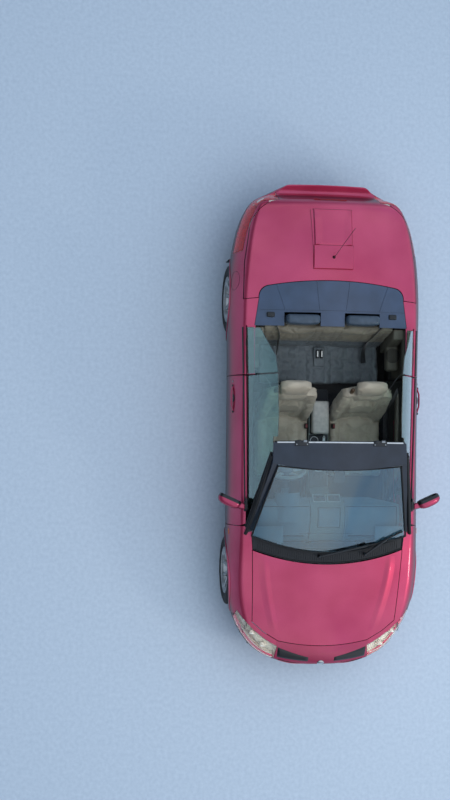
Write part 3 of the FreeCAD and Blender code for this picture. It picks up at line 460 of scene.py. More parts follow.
def addTurned(shape, profile, centre, axis=(1, 0, 0), steps=64, closed=False):
    # a profile of (along the axis, radius) spun once round the axis through centre
    axis = Vector(axis).normalized()
    out = axis.orthogonal().normalized()
    centre = Vector(centre)
    verts = [shape.verts.new(centre + axis * a + out * r) for a, r in profile]
    loop = verts + verts[:1] if closed else verts
    edges = [shape.edges.new(pair) for pair in zip(loop[:-1], loop[1:])]
    bmesh.ops.spin(shape, geom=verts + edges, cent=centre, axis=axis, angle=math.tau, steps=steps,
        use_merge=True, use_duplicate=False)


def addRod(shape, start, end, radius, steps=20, rounding=0.0):
    # a closed rod between two points
    start, end = Vector(start), Vector(end)
    run = end - start
    place = Matrix.Translation((start + end) / 2) @ run.to_track_quat("Z", "Y").to_matrix().to_4x4()
    verts = bmesh.ops.create_cone(shape, cap_ends=True, segments=steps, radius1=radius, radius2=radius,
        depth=run.length, matrix=place)["verts"]
    if rounding:
        rims = [e for e in edgesOf(verts) if max(len(f.verts) for f in e.link_faces) > 4]
        roundEdges(shape, rims, rounding, 2)


def addRods(shape, points, radius, steps):
    # a chain of rods through the points
    for near, far in zip(points[:-1], points[1:]):
        addRod(shape, near, far, radius, steps)


def joinRings(shape, rings, closed=True):
    # faces between neighbouring rings or rows of points
    faces = []
    for near, far in zip(rings[:-1], rings[1:]):
        for i in range(len(near) if closed else len(near) - 1):
            j = (i + 1) % len(near)
            faces.append(shape.faces.new([near[i], near[j], far[j], far[i]]))
    return faces


def mirrored(side, points):
    # points given for the car's left, on the wanted side
    return [(side * p[0], *p[1:]) for p in points]


def bentTube(name, points, radius, finish, body="body", order=4, flat=None):
    # a smooth line with a round section, or a flat one for straps
    line = bpy.data.curves.new(name, "CURVE")
    line.dimensions = "3D"
    spline = line.splines.new("NURBS")
    spline.points.add(len(points) - 1)
    for spot, p in zip(spline.points, points):
        spot.co = (*p[:3], 1)
        if len(p) > 3:
            spot.tilt = p[3]
    spline.order_u = order
    spline.use_endpoint_u = True
    spline.resolution_u = 6
    line.bevel_depth = radius
    line.bevel_resolution = 3
    line.use_fill_caps = True
    if flat:
        line.extrude = flat[0] / 2
        line.bevel_depth = flat[1] / 2
        line.bevel_resolution = 1
    line.materials.append(surface[finish])
    return placeOn(body, name, line, ())


# laying small pieces on CAD surfaces
def skinOf(nodeName):
    # the CAD surface of a node and its middle
    mesh = cad[nodeName].data
    low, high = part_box(nodeName)
    tree = BVHTree.FromPolygons([v.co for v in mesh.vertices], [p.vertices for p in mesh.polygons])
    return tree, (low + high) / 2


def onSkin(skin, start, way=down):
    # where a line from start along way first meets that surface, or the nearest place beside it
    tree, middle = skin
    start, way = Vector(start), Vector(way).normalized()
    spot, normal, index, distance = tree.ray_cast(start, way)
    if spot is None:
        spot, normal, index, distance = tree.find_nearest(start + way * (middle - start).dot(way))
    return spot, normal if normal.dot(way) < 0 else -normal


def layPatch(shape, skin, starts, ways, lift, edgeDip=-0.002):
    # starts are rows of ray starts and ways their directions, border points dip into the surface
    rows = []
    for i, (row, wayRow) in enumerate(zip(starts, ways)):
        made = []
        for j, (start, way) in enumerate(zip(row, wayRow)):
            border = i in (0, len(starts) - 1) or j in (0, len(row) - 1)
            spot, normal = onSkin(skin, start, way)
            made.append(shape.verts.new(spot + normal * (edgeDip if border else lift)))
        rows.append(made)
    return joinRings(shape, rows, False)


def sheet(name, skin, starts, way, lift, finish, body="body", sharpAt=35):
    # one thin piece laid on a surface, all its rays alike
    shape = bmesh.new()
    layPatch(shape, skin, starts, [[way] * len(row) for row in starts], lift)
    return settle(name, shape, [finish], body, (), sharpAt)


def spread(low, high, count, edge):
    # even stations with one extra close to each end
    inner = [low + edge + (high - low - 2 * edge) * i / (count - 1) for i in range(count)]
    return [low] + inner + [high]


def gridAbove(xs, ys, skew=0.0):
    # ray starts above a patch, drawn wider towards the rear by skew
    return [[(x + skew * (y - ys[0]) * (1 if x > 0 else -1), y, 1.6) for x in xs] for y in ys]


# wheels: 205/55 R16 tyres on ten-spoke alloy rims, with discs and studs
wheelData = {"radius": 0.316, "treadDepth": 0.0075, "shoulderBlocks": 58, "blockSkew": 2.8,
    "ribs": ((-0.033, 0.013), (0.0, 0.012), (0.033, 0.013)), "spokes": 10, "studCircle": 0.04644,
    "studs": 4}


def buildTyre(corner, x, y):
    r = wheelData["radius"]
    base = r - wheelData["treadDepth"]
    shape = bmesh.new()
    carcass = [(-0.07, 0.2045), (-0.082, 0.2035), (-0.087, 0.207), (-0.089, 0.214), (-0.095, 0.222),
        (-0.1005, 0.236), (-0.1022, 0.246), (-0.1016, 0.2485), (-0.1028, 0.252), (-0.1022, 0.268),
        (-0.0995, 0.284), (-0.0975, 0.2855), (-0.0945, 0.297), (-0.0875, 0.3045),
        (-0.078, base - 0.0005),
        (-0.06, base)]
    carcass += [(-a, q) for a, q in reversed(carcass)]
    inner = [(0.066, 0.208), (0.08, 0.262), (0.07, 0.296)]
    inner += [(-a, q) for a, q in reversed(inner)]
    addTurned(shape, carcass + inner, (x, y, r), steps=120, closed=True)
    for middle, half in wheelData["ribs"]:
        rib = [(-half, base - 0.002), (0.0008 - half, r - 0.0012), (0.003 - half, r - 0.0002)]
        rib += [(-a, q) for a, q in reversed(rib)]
        addTurned(shape, [(middle + a, q) for a, q in rib], (x, y, r), steps=120)
    pitch = math.tau / wheelData["shoulderBlocks"]
    # each block: across the tyre, share of the pitch, radius of its foot and of its top
    foot, top = base - 0.003, r - 0.0004
    block = ((0.0515, -0.36, foot, top), (0.0515, 0.36, foot, top), (0.087, 0.4, 0.302, r - 0.0052),
        (0.087, -0.4, 0.302, r - 0.0052))
    for i in range(wheelData["shoulderBlocks"]):
        for way in (1, -1):
            def blockCorner(a, part, radius, lean):
                angle = (i + part + lean * wheelData["blockSkew"] * way) * pitch
                return shape.verts.new((x + a * way, y + radius * math.sin(angle),
                        r + radius * math.cos(angle)))

            low = [blockCorner(a, part, under, a - 0.05) for a, part, under, over in block]
            high = [blockCorner(a, part, over, a - 0.05) for a, part, under, over in block]
            mid = [blockCorner(0.078, part, r - 0.0012, 0.028) for part in (0.4, -0.4)]
            for loop in ((high[0], high[1], mid[0], mid[1]), (mid[1], mid[0], high[2], high[3]),
                    (low[0], low[1], high[1], high[0]), (low[1], low[2], high[2], mid[0], high[1]),
                    (low[3], low[0], high[0], mid[1], high[3]), (low[2], low[3], high[3], high[2])):
                shape.faces.new(loop)
    settle("tyreTread_" + corner, shape, ["tyreRubber"], "wheel_" + corner, ["tyre_" + corner], 28)


def buildRim(corner, x, y, side):
    centre = Vector((x, y, wheelData["radius"]))
    way = Vector((side, 0, 0))
    shape = bmesh.new()
    barrel = [(-0.09, 0.2125), (-0.094, 0.2125), (-0.095, 0.206), (-0.089, 0.2), (-0.084, 0.2),
        (-0.052, 0.197),
        (-0.034, 0.186), (0.02, 0.186), (0.044, 0.197), (0.082, 0.2), (0.087, 0.2125), (0.0905, 0.214),
        (0.0945, 0.2125), (0.0955, 0.208), (0.092, 0.2035), (0.086, 0.2015), (0.08, 0.196),
        (0.06, 0.1905),
        (0.044, 0.188), (0.022, 0.178), (-0.034, 0.178), (-0.054, 0.19), (-0.086, 0.194), (-0.09, 0.2)]
    addTurned(shape, barrel, centre, way, 96, closed=True)
    hub = [(0.02, 0.0), (0.02, 0.062), (0.046, 0.064), (0.054, 0.06), (0.058, 0.05), (0.06, 0.036),
        (0.06, 0.034)]
    addTurned(shape, hub, centre, way, 64)
    # spokes taper outwards in width, stand proud in a soft ridge and fork at the lip
    # each station: radius, half width, front face, depth
    stations = ((0.05, 0.0165, 0.0545, 0.03), (0.08, 0.0135, 0.06, 0.028), (0.12, 0.012, 0.067, 0.026),
        (0.16, 0.0125, 0.0735, 0.024), (0.184, 0.0165, 0.078, 0.024), (0.1975, 0.025, 0.08, 0.022))
    for i in range(wheelData["spokes"]):
        turn = Matrix.Rotation(math.tau * (i + 0.5) / wheelData["spokes"], 4, "X")
        rings = []
        for radius, half, front, depth in stations:
            ring = []
            for across, off in ((-1, depth), (-1, 0.006), (-0.62, 0.001), (0, -0.0016), (0.62, 0.001),
                    (1, 0.006),
                    (1, depth)):
                spot = turn @ Vector((0, half * across, radius))
                ring.append(shape.verts.new(centre + Vector((side * (front - off), spot.y, spot.z))))
            rings.append(ring)
        joinRings(shape, rings)
        shape.faces.new(rings[0])
        shape.faces.new(rings[-1])
    for i in range(wheelData["studs"]):
        angle = math.tau * (i + 0.5) / wheelData["studs"]
        start = centre + Vector((side * 0.05,
                *(wheelData["studCircle"] * f(angle) for f in (math.sin, math.cos))))
        with inFinish(shape, 1):
            addRod(shape, start, start + way * 0.016, 0.0095, 6, 0.0012)
    addTurned(shape, [(0.058, 0.0335), (0.064, 0.0325), (0.0665, 0.028), (0.0675, 0.0)], centre, way, 48)
    valve = centre + Vector((side * 0.055, 0.185, 0.0))
    with inFinish(shape, 2):
        addRod(shape, valve, valve + Vector((side * 0.026, -0.012, 0)), 0.004, 10, 0.001)
    # brake disc behind the spokes, with its hat
    disc = [(-0.04, 0.062), (-0.04, 0.1395), (-0.0385, 0.1405), (-0.0345, 0.1405), (-0.0335, 0.138),
        (-0.0275, 0.138), (-0.0265, 0.1405), (-0.0235, 0.1405), (-0.022, 0.1395), (-0.022, 0.078),
        (-0.0205, 0.074), (0.018, 0.072), (0.02, 0.07), (0.02, 0.062)]
    with inFinish(shape, 3):
        addTurned(shape, disc, centre, way, 72, closed=True)
    settle("alloyRim_" + corner, shape, ["silverWheel", "zincSteel", "rubberSeal", "turnedDisc"],
        "wheel_" + corner, ["rim_" + corner], 32)


for corner in corners:
    low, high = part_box("tyre_" + corner)
    buildTyre(corner, (low.x + high.x) / 2, (low.y + high.y) / 2)
    buildRim(corner, (low.x + high.x) / 2, (low.y + high.y) / 2, 1 if corner.endswith("left") else -1)
print("wheels built")


# lamps
def facesLooking(name, way, least):
    # the skin of a CAD node that looks along way
    shape = bmesh.new()
    shape.from_mesh(cad[name].data)
    shape.normal_update()
    way = Vector(way).normalized()
    bmesh.ops.delete(shape, geom=[f for f in shape.faces if f.normal.dot(way) < least], context="FACES")
    bmesh.ops.delete(shape, geom=[v for v in shape.verts if not v.link_faces], context="VERTS")
    bmesh.ops.remove_doubles(shape, verts=shape.verts, dist=0.0001)
    return shape


def lampLens(name, source, way, look):
    # the outer skin, a few millimetres thick
    shape = facesLooking(source, way, look["least"])
    bmesh.ops.solidify(shape, geom=shape.faces[:], thickness=look["wall"])
    lens = settle(name, shape, [look["lens"]], "body", [source], 30)
    lens.visible_shadow = False


def lampBowl(name, source, way, shift, look):
    # the same outline pushed inwards, open towards the lens
    shape = facesLooking(source, way, look["least"])
    skin = shape.faces[:]
    middle = sum((f.calc_center_median() for f in skin), Vector()) / len(skin)
    made = bmesh.ops.extrude_face_region(shape, geom=skin)["geom"]
    for v in [g for g in made if isinstance(g, bmesh.types.BMVert)]:
        v.co = middle + (v.co - middle) * look["taper"] + Vector(shift)
    bmesh.ops.delete(shape, geom=[f for f in skin if f.is_valid], context="FACES_ONLY")
    bmesh.ops.translate(shape, verts=shape.verts, vec=Vector(way).normalized() * -0.004)
    settle(name, shape, ["lampReflector"], sharpAt=30)


# units are (x, z, radius), trims lines of (x, y)
headlampLook = {"wall": 0.003, "lens": "clearLens", "slot": "lamp_clear", "taper": 0.93, "least": 0.28,
    "units": ((0.545, 0.622, 0.032), (0.648, 0.658, 0.03)), "indicator": (0.722, 0.7, 0.016),
    "trims": (((0.43, -2.004), (0.52, -1.936), (0.61, -1.86), (0.69, -1.772), (0.76, -1.69)),
        ((0.455, -2.074), (0.54, -2.045), (0.62, -1.99), (0.69, -1.91), (0.745, -1.815)))}
tailLampLook = {"wall": 0.003, "lens": "redLens", "slot": "lamp_red", "taper": 0.94, "least": 0.3,
    "units": ((0.56, 0.775), (0.66, 0.79)), "sink": 0.034}


def buildHeadlamp(name, side):
    source = "headlamp_" + name
    way = (0.35 * side, -0.65, 0.67)
    skin = skinOf(source)
    lampLens("headlampLens_" + name, source, way, headlampLook)
    lampBowl("headlampBowl_" + name, source, way, (-0.012 * side, 0.04, -0.026), headlampLook)
    shape = bmesh.new()
    along = (0, 1, 0)
    for x, z, r in headlampLook["units"] + (headlampLook["indicator"],):
        centre = onSkin(skin, (x * side, -2.6, z), along)[0] + Vector((0, 0.016 + 1.16 * r, 0))
        bowl = [(0.03, 0.0), (0.0295, r * 0.22), (0.025, r * 0.55), (0.015, r * 0.84), (0.0, r * 0.98),
            (-0.004, r),
            (-0.005, r * 1.06), (-0.002, r * 1.1), (0.006, r * 1.1), (0.034, r * 0.5)]
        addTurned(shape, bowl, centre, along, 48)
        amber = r == headlampLook["indicator"][2]
        with inFinish(shape, 2 if amber else 1):
            bulb = [(0.03, 0.006), (0.01, 0.0065), (0.004, 0.0055), (0.001, 0.003), (0.0, 0.0)]
            addTurned(shape, bulb, centre, along, 20)
        if not amber:
            with inFinish(shape, 3):
                dome = [(-0.008, 0.0), (-0.0075, r * 0.35), (-0.005, r * 0.62), (0.0, r * 0.8),
                    (0.003, r * 0.86)]
                addTurned(shape, dome, centre, along, 40)
    settle("headlampUnits_" + name, shape, ["lampReflector", "whiteAbs", "amberLens", "clearLens"])
    # bright trims that follow the lamp's upper edge, inside the lens
    for index, line in enumerate(headlampLook["trims"]):
        laid = [onSkin(skin, (x * side, y, 1.2)) for x, y in line]
        points = [spot - normal * 0.007 for spot, normal in laid]
        bentTube("headlampTrim_%s_%d" % (name, index), points, 0.0038, "brightTrim")
    steps = bmesh.new()
    for k in range(5):
        spot, normal = onSkin(skin, ((0.7 + 0.014 * k) * side, -1.8 - 0.02 * k, 1.2))
        addBlock(steps, spot - Vector((0.003, 0.02, 0.026)), spot - Vector((-0.003, -0.02, 0.017)), 0.001, 1)
    settle("headlampSteps_%s_70" % name, steps, ["satinBlack"])


def buildTailLamp(name, side):
    source = "tail_lamp_" + name
    way = (0.75 * side, 0.6, 0.3)
    lampBowl("tailLampBowl_" + name, source, way, (-0.014 * side, -0.02, -0.004), tailLampLook)
    lampLens("tailLampLens_" + name, source, way, tailLampLook)
    skin = skinOf(source)
    # clear reversing lamp set in the red lens
    starts = [[(side * x, 2.6, z) for x in spread(0.596, 0.66, 6, 0.004)] for z in spread(0.806, 0.844, 5,
            0.004)]
    sheet("reversingLamp_" + name, skin, starts, (0, -1, 0), 0.0025, "whiteAbs", sharpAt=40)
    units = bmesh.new()
    for x, z in tailLampLook["units"]:
        spot, normal = onSkin(skin, (x * side, 2.6, z), (0, -1, 0))
        addTurned(units, [(-0.016, 0.0), (-0.014, 0.018), (-0.006, 0.03), (0.0, 0.034), (0.002, 0.036)],
            spot - Vector((0, tailLampLook["sink"], 0)), (0, 1, 0), 36)
    settle("tailLampUnits_" + name, units, ["lampReflector"])


for name, side in sides:
    buildHeadlamp(name, side)
    buildTailLamp(name, side)
print("lamps built")


# grille slats in the upper slots, mesh in the lower opening, fog lamps and blank plates
frontData = {"slatRows": 3, "slatPitch": 0.0125, "meshRows": 6, "meshRise": 0.0185, "meshPitch": 0.036,
    "fog": (0.6, 0.352)}


def bumperCurve(x):
    # how far the lower opening's mesh falls back from its middle
    return 0.16 * x * x + 0.9 * max(abs(x) - 0.25, 0) ** 2


def buildFrontOpenings():
    skin = skinOf("front_bumper")
    along = (0, 1, 0)
    slats = bmesh.new()
    for side in (1, -1):
        front = {x: onSkin(skin, (x * side, -2.6, 0.545), along)[0].y
            for x in (0.108, 0.16, 0.2, 0.22, 0.28, 0.3, 0.34, 0.397)}
        for k in range(frontData["slatRows"]):
            z = 0.566 + frontData["slatPitch"] * k
            addRods(slats, [(x * side, front[x] + 0.014, z + (x - 0.108) * 0.02)
                    for x in (0.108, 0.16, 0.22, 0.28, 0.34, 0.397)], 0.0034, 8)
        for x in (0.2, 0.3):
            addBlock(slats, (x * side - 0.002, front[x] + 0.016, 0.556),
                (x * side + 0.002, front[x] + 0.04, 0.606))
    # wavy bars with uprights between them
    for k in range(frontData["meshRows"]):
        z = 0.294 + frontData["meshRise"] * k
        half = 0.385 + (z - 0.284) * 0.49
        stations = [half * (i / 8 - 1) for i in range(17)]
        addRods(slats, [(x, -2.12 + bumperCurve(x), z) for x in stations], 0.003, 6)
    for i in range(-10, 11):
        x = i * frontData["meshPitch"]
        y = -2.117 + bumperCurve(x)
        addRod(slats, (x, y, 0.286), (x, y, 0.394), 0.0026, 6)
    settle("grilleSlats", slats, ["mouldedPolypropylene"])
    x, z = frontData["fog"]
    for name, side in sides:
        spot, normal = onSkin(skin, (x * side, -2.6, 0.412), along)
        centre = (x * side, spot.y + 0.026, z)
        fog = bmesh.new()
        for index, profile in enumerate((
                [(0.036, 0.0), (0.034, 0.014), (0.024, 0.028), (0.006, 0.037), (0.0, 0.038)],
                [(-0.01, 0.0), (-0.009, 0.016), (-0.005, 0.03), (0.002, 0.0375), (0.008, 0.0385)],
                [(0.01, 0.0385), (-0.002, 0.0385), (-0.006, 0.0405), (-0.004, 0.0435), (0.04, 0.0435)])):
            with inFinish(fog, index):
                addTurned(fog, profile, centre, along)
        settle("fogLamp_" + name, fog, ["lampReflector", "clearLens", "mouldedPolypropylene"])


plateLook = {"half": (0.162, 0.046), "rim": (0.159, 0.0435), "rimWidth": 0.002, "screws": 0.14}


def buildPlate(name, y, z, way):
    # a blank pressed plate on its pad, with two screws
    plate = bmesh.new()
    hx, hz = plateLook["half"]
    rx, rz = plateLook["rim"]
    wide = plateLook["rimWidth"]
    addBlock(plate, (-hx, y, z - hz), (hx, y + way * 0.0016, z + hz), 0.0006, 2)
    with inFinish(plate, 1):
        for x1, x2, z1, z2 in ((-rx, rx, -rz, wide - rz), (-rx, rx, rz - wide, rz), (-rx, wide - rx, -rz, rz),
                (rx - wide, rx, -rz, rz)):
            addBlock(plate, (x1, y + way * 0.001, z + z1), (x2, y + way * 0.0026, z + z2), 0.0004, 1)
    with inFinish(plate, 2):
        for x in (-plateLook["screws"], plateLook["screws"]):
            addTurned(plate, [(0.0, 0.0), (0.0001, 0.003), (-0.001, 0.0052), (-0.0026, 0.0056)],
                (x, y + way * 0.0042, z), (0, way, 0), 20)
    settle(name, plate, ["plateFilm", "darkAbs", "zincSteel"])


buildFrontOpenings()
buildPlate("frontPlate", -2.1776, 0.478, -1)
buildPlate("rearPlate", 2.1776, 0.54, 1)
print("front openings and plates built")


# mirrors: a rounded shell tilted back at its outer end, dark gap, black rear edge and glass
# rings are (share of the depth, share of the size), rim steps (growth, step back)
mirrorLook = {"middle": (0.908, -0.668, 0.962), "half": (0.108, 0.05, 0.062), "tilt": 0.42, "steps": 48,
    "corner": 3.2, "rings": ((-1.0, 0.0), (-0.97, 0.34), (-0.86, 0.62), (-0.62, 0.84),
        (-0.25, 0.965),
        (0.15, 1.0), (0.42, 0.985), (0.55, 0.955)),
    "rim": ((1.0, 0.006), (0.96, 0.009), (0.9, 0.004), (0.89, -0.012))}


def buildMirror(name, side):
    shape = bmesh.new()
    middle = Vector(mirrorLook["middle"])
    hx, hy, hz = mirrorLook["half"]
    turn = Matrix.Rotation(mirrorLook["tilt"], 3, "Z")
    steps, corner = mirrorLook["steps"], mirrorLook["corner"]

    def newRing(spots):
        return [shape.verts.new(p) for p in mirrored(side, [middle + spot for spot in spots])]

    rings = []
    for depth, size in mirrorLook["rings"]:
        spots = []
        for i in range(steps):
            a = math.tau * i / steps
            c, s = math.cos(a), math.sin(a)
            # a rounded box seen from behind, flatter below
            k = size * (abs(c) ** corner + abs(s) ** corner) ** (-1 / corner)
            spots.append(turn @ Vector((hx * c * k * (1 - 0.1 * (c < 0) * abs(s)), hy * depth,
                    hz * s * k * (1 - 0.12 * (s < 0)))))
        rings.append(newRing(spots))
    faces = joinRings(shape, rings)
    for face in faces[-2 * steps:]:
        face.material_index = 1
    # the black rear rim steps in to the sunk glass
    centre = turn @ Vector((0, hy * 0.55, -0.002))
    edge = rings[-1]
    with inFinish(shape, 1):
        for grow, back in mirrorLook["rim"]:
            fresh = newRing([centre + (spot - centre) * grow + turn @ Vector((0, back, 0)) for spot in spots])
            joinRings(shape, [edge, fresh])
            edge = fresh
    with inFinish(shape, 2):
        shape.faces.new(edge)
    # foot on the door and the short arm
    addOutline(shape, mirrored(side, ((0.77, -0.752, 0.93), (0.77, -0.69, 0.93), (0.77, -0.694, 0.978),
            (0.77, -0.738, 0.978))), (side * 0.075, 0.018, 0.0), 0.01, 3)
    with inFinish(shape, 3):
        addOutline(shape, mirrored(side, ((0.838, -0.732, 0.93), (0.838, -0.668, 0.93),
                (0.838, -0.672, 0.976),
                (0.838, -0.718, 0.976))), (side * 0.016, 0.003, 0.0), 0.004, 2)
        addOutline(shape, mirrored(side, ((0.742, -0.77, 0.918), (0.742, -0.672, 0.918),
                (0.742, -0.676, 0.972),
                (0.742, -0.744, 0.972))), (side * 0.03, 0.006, 0.0), 0.006, 2)
    settle("mirrorHead_" + name, shape, ["plasticPaint", "satinBlack", "silveredGlass",
            "mouldedPolypropylene"],
        "door_" + name, ["mirror_" + name], 32)


# door handles with their cups and locks
handleLook = {"y": (0.128, 0.362), "z": 0.772, "proud": 0.024, "thick": 0.0075, "height": 0.028,
    "stations": 9,
    "section": 10}


def buildHandle(name, side):
    skin = skinOf("door_" + name)
    y1, y2 = handleLook["y"]
    stations, section = handleLook["stations"], handleLook["section"]
    out = Vector((side, 0, 0.12)).normalized()

    def onDoor(y):
        return onSkin(skin, (side * 1.4, y, handleLook["z"]), (-side, 0, 0))[0]

    shape = bmesh.new()
    rings = []
    for i in range(stations):
        t = i / (stations - 1)
        spot = onDoor(y1 + (y2 - y1) * t)
        lift = handleLook["proud"] * min(1.0, 3.2 * min(t, 1 - t) + 0.12) - 0.006
        ring = []
        for k in range(section):
            angle = math.tau * k / section
            rise = Vector((0, 0, handleLook["height"] / 2 * math.sin(angle)))
            ring.append(shape.verts.new(spot + out * (lift + handleLook["thick"] * math.cos(angle)) + rise))
        rings.append(ring)
    joinRings(shape, rings)
    shape.faces.new(rings[0])
    shape.faces.new(rings[-1])
    with inFinish(shape, 2):
        addTurned(shape, [(0.004, 0.0), (0.004, 0.008), (0.003, 0.0095), (-0.006, 0.0095)],
            onDoor(y2 + 0.032),
            (side, 0, 0.1), 24)
    with inFinish(shape, 1):
        for y in (y1 - 0.004, y2 - 0.006):
            addBlockAt(shape, onDoor(y), (0.01, 0.01, 0.013), 0.005, 2)
        cup = [(0.0005, 0.0), (0.0006, 0.03), (0.0012, 0.034), (-0.004, 0.037)]
        addTurned(shape, cup, onDoor((y1 + y2) / 2), (side, 0, 0.12), 40)
    settle("doorHandle_" + name, shape, ["plasticPaint", "mouldedPolypropylene", "zincSteel"],
        "door_" + name)


# a black finisher along the outside of the side glass and a wiper lip inside it
# each seal: piece, node, range along the car, points, inset, lift, radius, finish
sealRuns = (("beltFinisher_", "door_", -0.735, 0.44, 12, -0.01, 0.003, 0.0075, "satinBlack"),
    ("beltWiper_", "door_", -0.735, 0.436, 12, 0.018, 0.002, 0.006, "rubberSeal"),
    ("quarterFinisher_", "quarter_", 0.456, 0.872, 6, -0.01, 0.003, 0.0075, "satinBlack"),
    ("quarterWiper_", "quarter_", 0.456, 0.872, 6, 0.018, 0.002, 0.006, "rubberSeal"))


def buildSeals(name, side):
    for piece, node, y1, y2, count, inset, lift, radius, finish in sealRuns:
        skin = skinOf(node + name)
        points = []
        for i in range(count):
            y = y1 + (y2 - y1) * i / (count - 1)
            spot, normal = onSkin(skin, (side * (0.777 - inset + flare(y)), y, 1.4))
            points.append(spot + Vector((0, 0, lift)))
        bentTube(piece + name, points, radius, finish, body="door_" + name if node == "door_" else "body")


for name, side in sides:
    buildMirror(name, side)
    buildHandle(name, side)
    buildSeals(name, side)
print("mirrors, handles and belt seals built")




# padded pieces: a shape is remeshed, blown up a little as cloth and kept close to its CAD surface
clothLook = {"voxel": 0.0095, "frames": 20, "cap": 0.022, "groove": 0.0045, "seam": 0.007,
    "settings": {"quality": 4, "mass": 0.4, "tension_stiffness": 18, "compression_stiffness": 18,
        "bending_stiffness": 1.2, "use_pressure": True, "uniform_pressure_force": 4.0,
        "shrink_min": -0.03}}


def voxelMesh(name, shape, voxel, smoothing):
    mesh = bpy.data.meshes.new(name + "Blank")
    shape.to_mesh(mesh)
    shape.free()
    blank = bpy.data.objects.new(name + "Blank", mesh)
    bpy.context.collection.objects.link(blank)
    remesh = blank.modifiers.new("voxels", "REMESH")
    remesh.mode = "VOXEL"
    remesh.voxel_size = voxel
    remesh.use_smooth_shade = True
    bpy.context.view_layer.update()
    solid = bpy.data.meshes.new_from_object(blank.evaluated_get(bpy.context.evaluated_depsgraph_get()))
    bpy.data.objects.remove(blank)
    rounded = bmesh.new()
    rounded.from_mesh(solid)
    for turn in range(smoothing):
        bmesh.ops.smooth_vert(rounded, verts=rounded.verts, factor=0.5, use_axis_x=True, use_axis_y=True,
            use_axis_z=True)
    return rounded


def puffed(name, shape, seamGap, heldBelow, voxel, smoothing, cap):
    # seamGap(vertex place, normal) is how far a point is from the nearest seam
    rounded = voxelMesh(name, shape, voxel, smoothing)
    rounded.normal_update()
    held = []
    for v in rounded.verts:
        gap = seamGap(v.co, v.normal)
        near = max(0.0, 1.0 - gap / clothLook["seam"])
        v.co -= v.normal * clothLook["groove"] * near
        if near > 0.25 or v.co.z < heldBelow:
            held.append(v.index)
    rest = [v.co.copy() for v in rounded.verts]
    mesh = bpy.data.meshes.new(name)
    rounded.to_mesh(mesh)
    rounded.free()
    blank = bpy.data.objects.new(name + "Cloth", mesh)
    bpy.context.collection.objects.link(blank)
    group = blank.vertex_groups.new(name="held")
    group.add(held, 1.0, "REPLACE")
    cloth = blank.modifiers.new("cloth", "CLOTH")
    for setting, value in clothLook["settings"].items():
        setattr(cloth.settings, setting, value)
    cloth.settings.vertex_group_mass = "held"
    cloth.settings.effector_weights.gravity = 0
    cloth.collision_settings.use_collision = False
    cloth.point_cache.frame_start = 1
    cloth.point_cache.frame_end = clothLook["frames"]
    scene = bpy.context.scene
    for f in range(1, clothLook["frames"] + 1):
        scene.frame_set(f)
    blown = bpy.data.meshes.new_from_object(blank.evaluated_get(bpy.context.evaluated_depsgraph_get()))
    bpy.data.objects.remove(blank)
    scene.frame_set(1)
    for v, start in zip(blown.vertices, rest):
        moved = v.co - start
        if moved.length > cap:
            v.co = start + moved * (cap / moved.length)
    return blown


def cadShape(node, shift=(0, 0, 0), keepAbove=None):
    shape = bmesh.new()
    shape.from_mesh(cad[node].data)
    bmesh.ops.remove_doubles(shape, verts=shape.verts, dist=0.00005)
    if keepAbove is not None:
        bmesh.ops.bisect_plane(shape, geom=shape.verts[:] + shape.edges[:] + shape.faces[:],
            plane_co=(0, 0, keepAbove),
            plane_no=(0, 0, 1), clear_inner=True)
        bmesh.ops.holes_fill(shape, edges=[e for e in shape.edges if len(e.link_faces) == 1], sides=0)
    bmesh.ops.translate(shape, verts=shape.verts, vec=shift)
    return shape


def refine(piece):
    smoother = piece.modifiers.new("finer", "SUBSURF")
    smoother.levels = smoother.render_levels = 1


def bandGap(value, marks):
    return min(abs(value - m) for m in marks)


# front seats in beige hide: two side bolsters, a middle panel and a thigh roll
seatLook = {"x": 0.345, "underside": 0.337, "bolster": 0.15, "cushionMarks": (-0.318, -0.055),
    "backPivot": (0.0, 0.108, 0.44), "recline": 20,
    "backMarks": (0.12, 0.42), "restMark": 0.588}
reclineTurn = Matrix.Rotation(math.radians(seatLook["recline"]), 3, "X")


def seatBackPlace(spot):
    # a point of the seat in the upright back's own measure
    return reclineTurn @ (spot - Vector(seatLook["backPivot"]))


def seatSeams(spot, normal):
    own = seatBackPlace(spot)
    if spot.z < 0.56 and spot.y < 0.085 and own.z < 0.12:
        if normal.z < 0.35:
            return abs(spot.z - 0.445) + (0 if abs(normal.z) < 0.35 else 1)
        gap = abs(abs(spot.x) - seatLook["bolster"])
        if abs(spot.x) < seatLook["bolster"]:
            gap = min(gap, bandGap(spot.y, seatLook["cushionMarks"]))
        return gap
    if abs(own.z - seatLook["restMark"]) < 0.05:
        return abs(own.z - seatLook["restMark"])
    if own.z > seatLook["restMark"]:
        return 1.0
    facing = (reclineTurn @ normal).y
    if facing < -0.25:
        bolster = seatLook["bolster"] * (1.0 - 0.1 * own.z)
        gap = abs(abs(spot.x) - bolster)
        if abs(spot.x) < bolster:
            gap = min(gap, bandGap(own.z, seatLook["backMarks"]))
        return gap
    if facing > 0.4:
        return abs(abs(spot.x) - 0.185)
    return abs(own.y - 0.03) if abs(facing) < 0.4 else 1.0


def pipingOn(name, mesh, starts, way, radius, finish):
    # a welt laid in a seam of the puffed surface
    tree = BVHTree.FromPolygons([v.co for v in mesh.vertices], [p.vertices for p in mesh.polygons])
    points = []
    for start in starts:
        spot, normal, index, distance = tree.ray_cast(Vector(start), Vector(way))
        if spot is not None:
            points.append(spot)
    if len(points) > 3:
        bentTube(name, points, radius, finish)


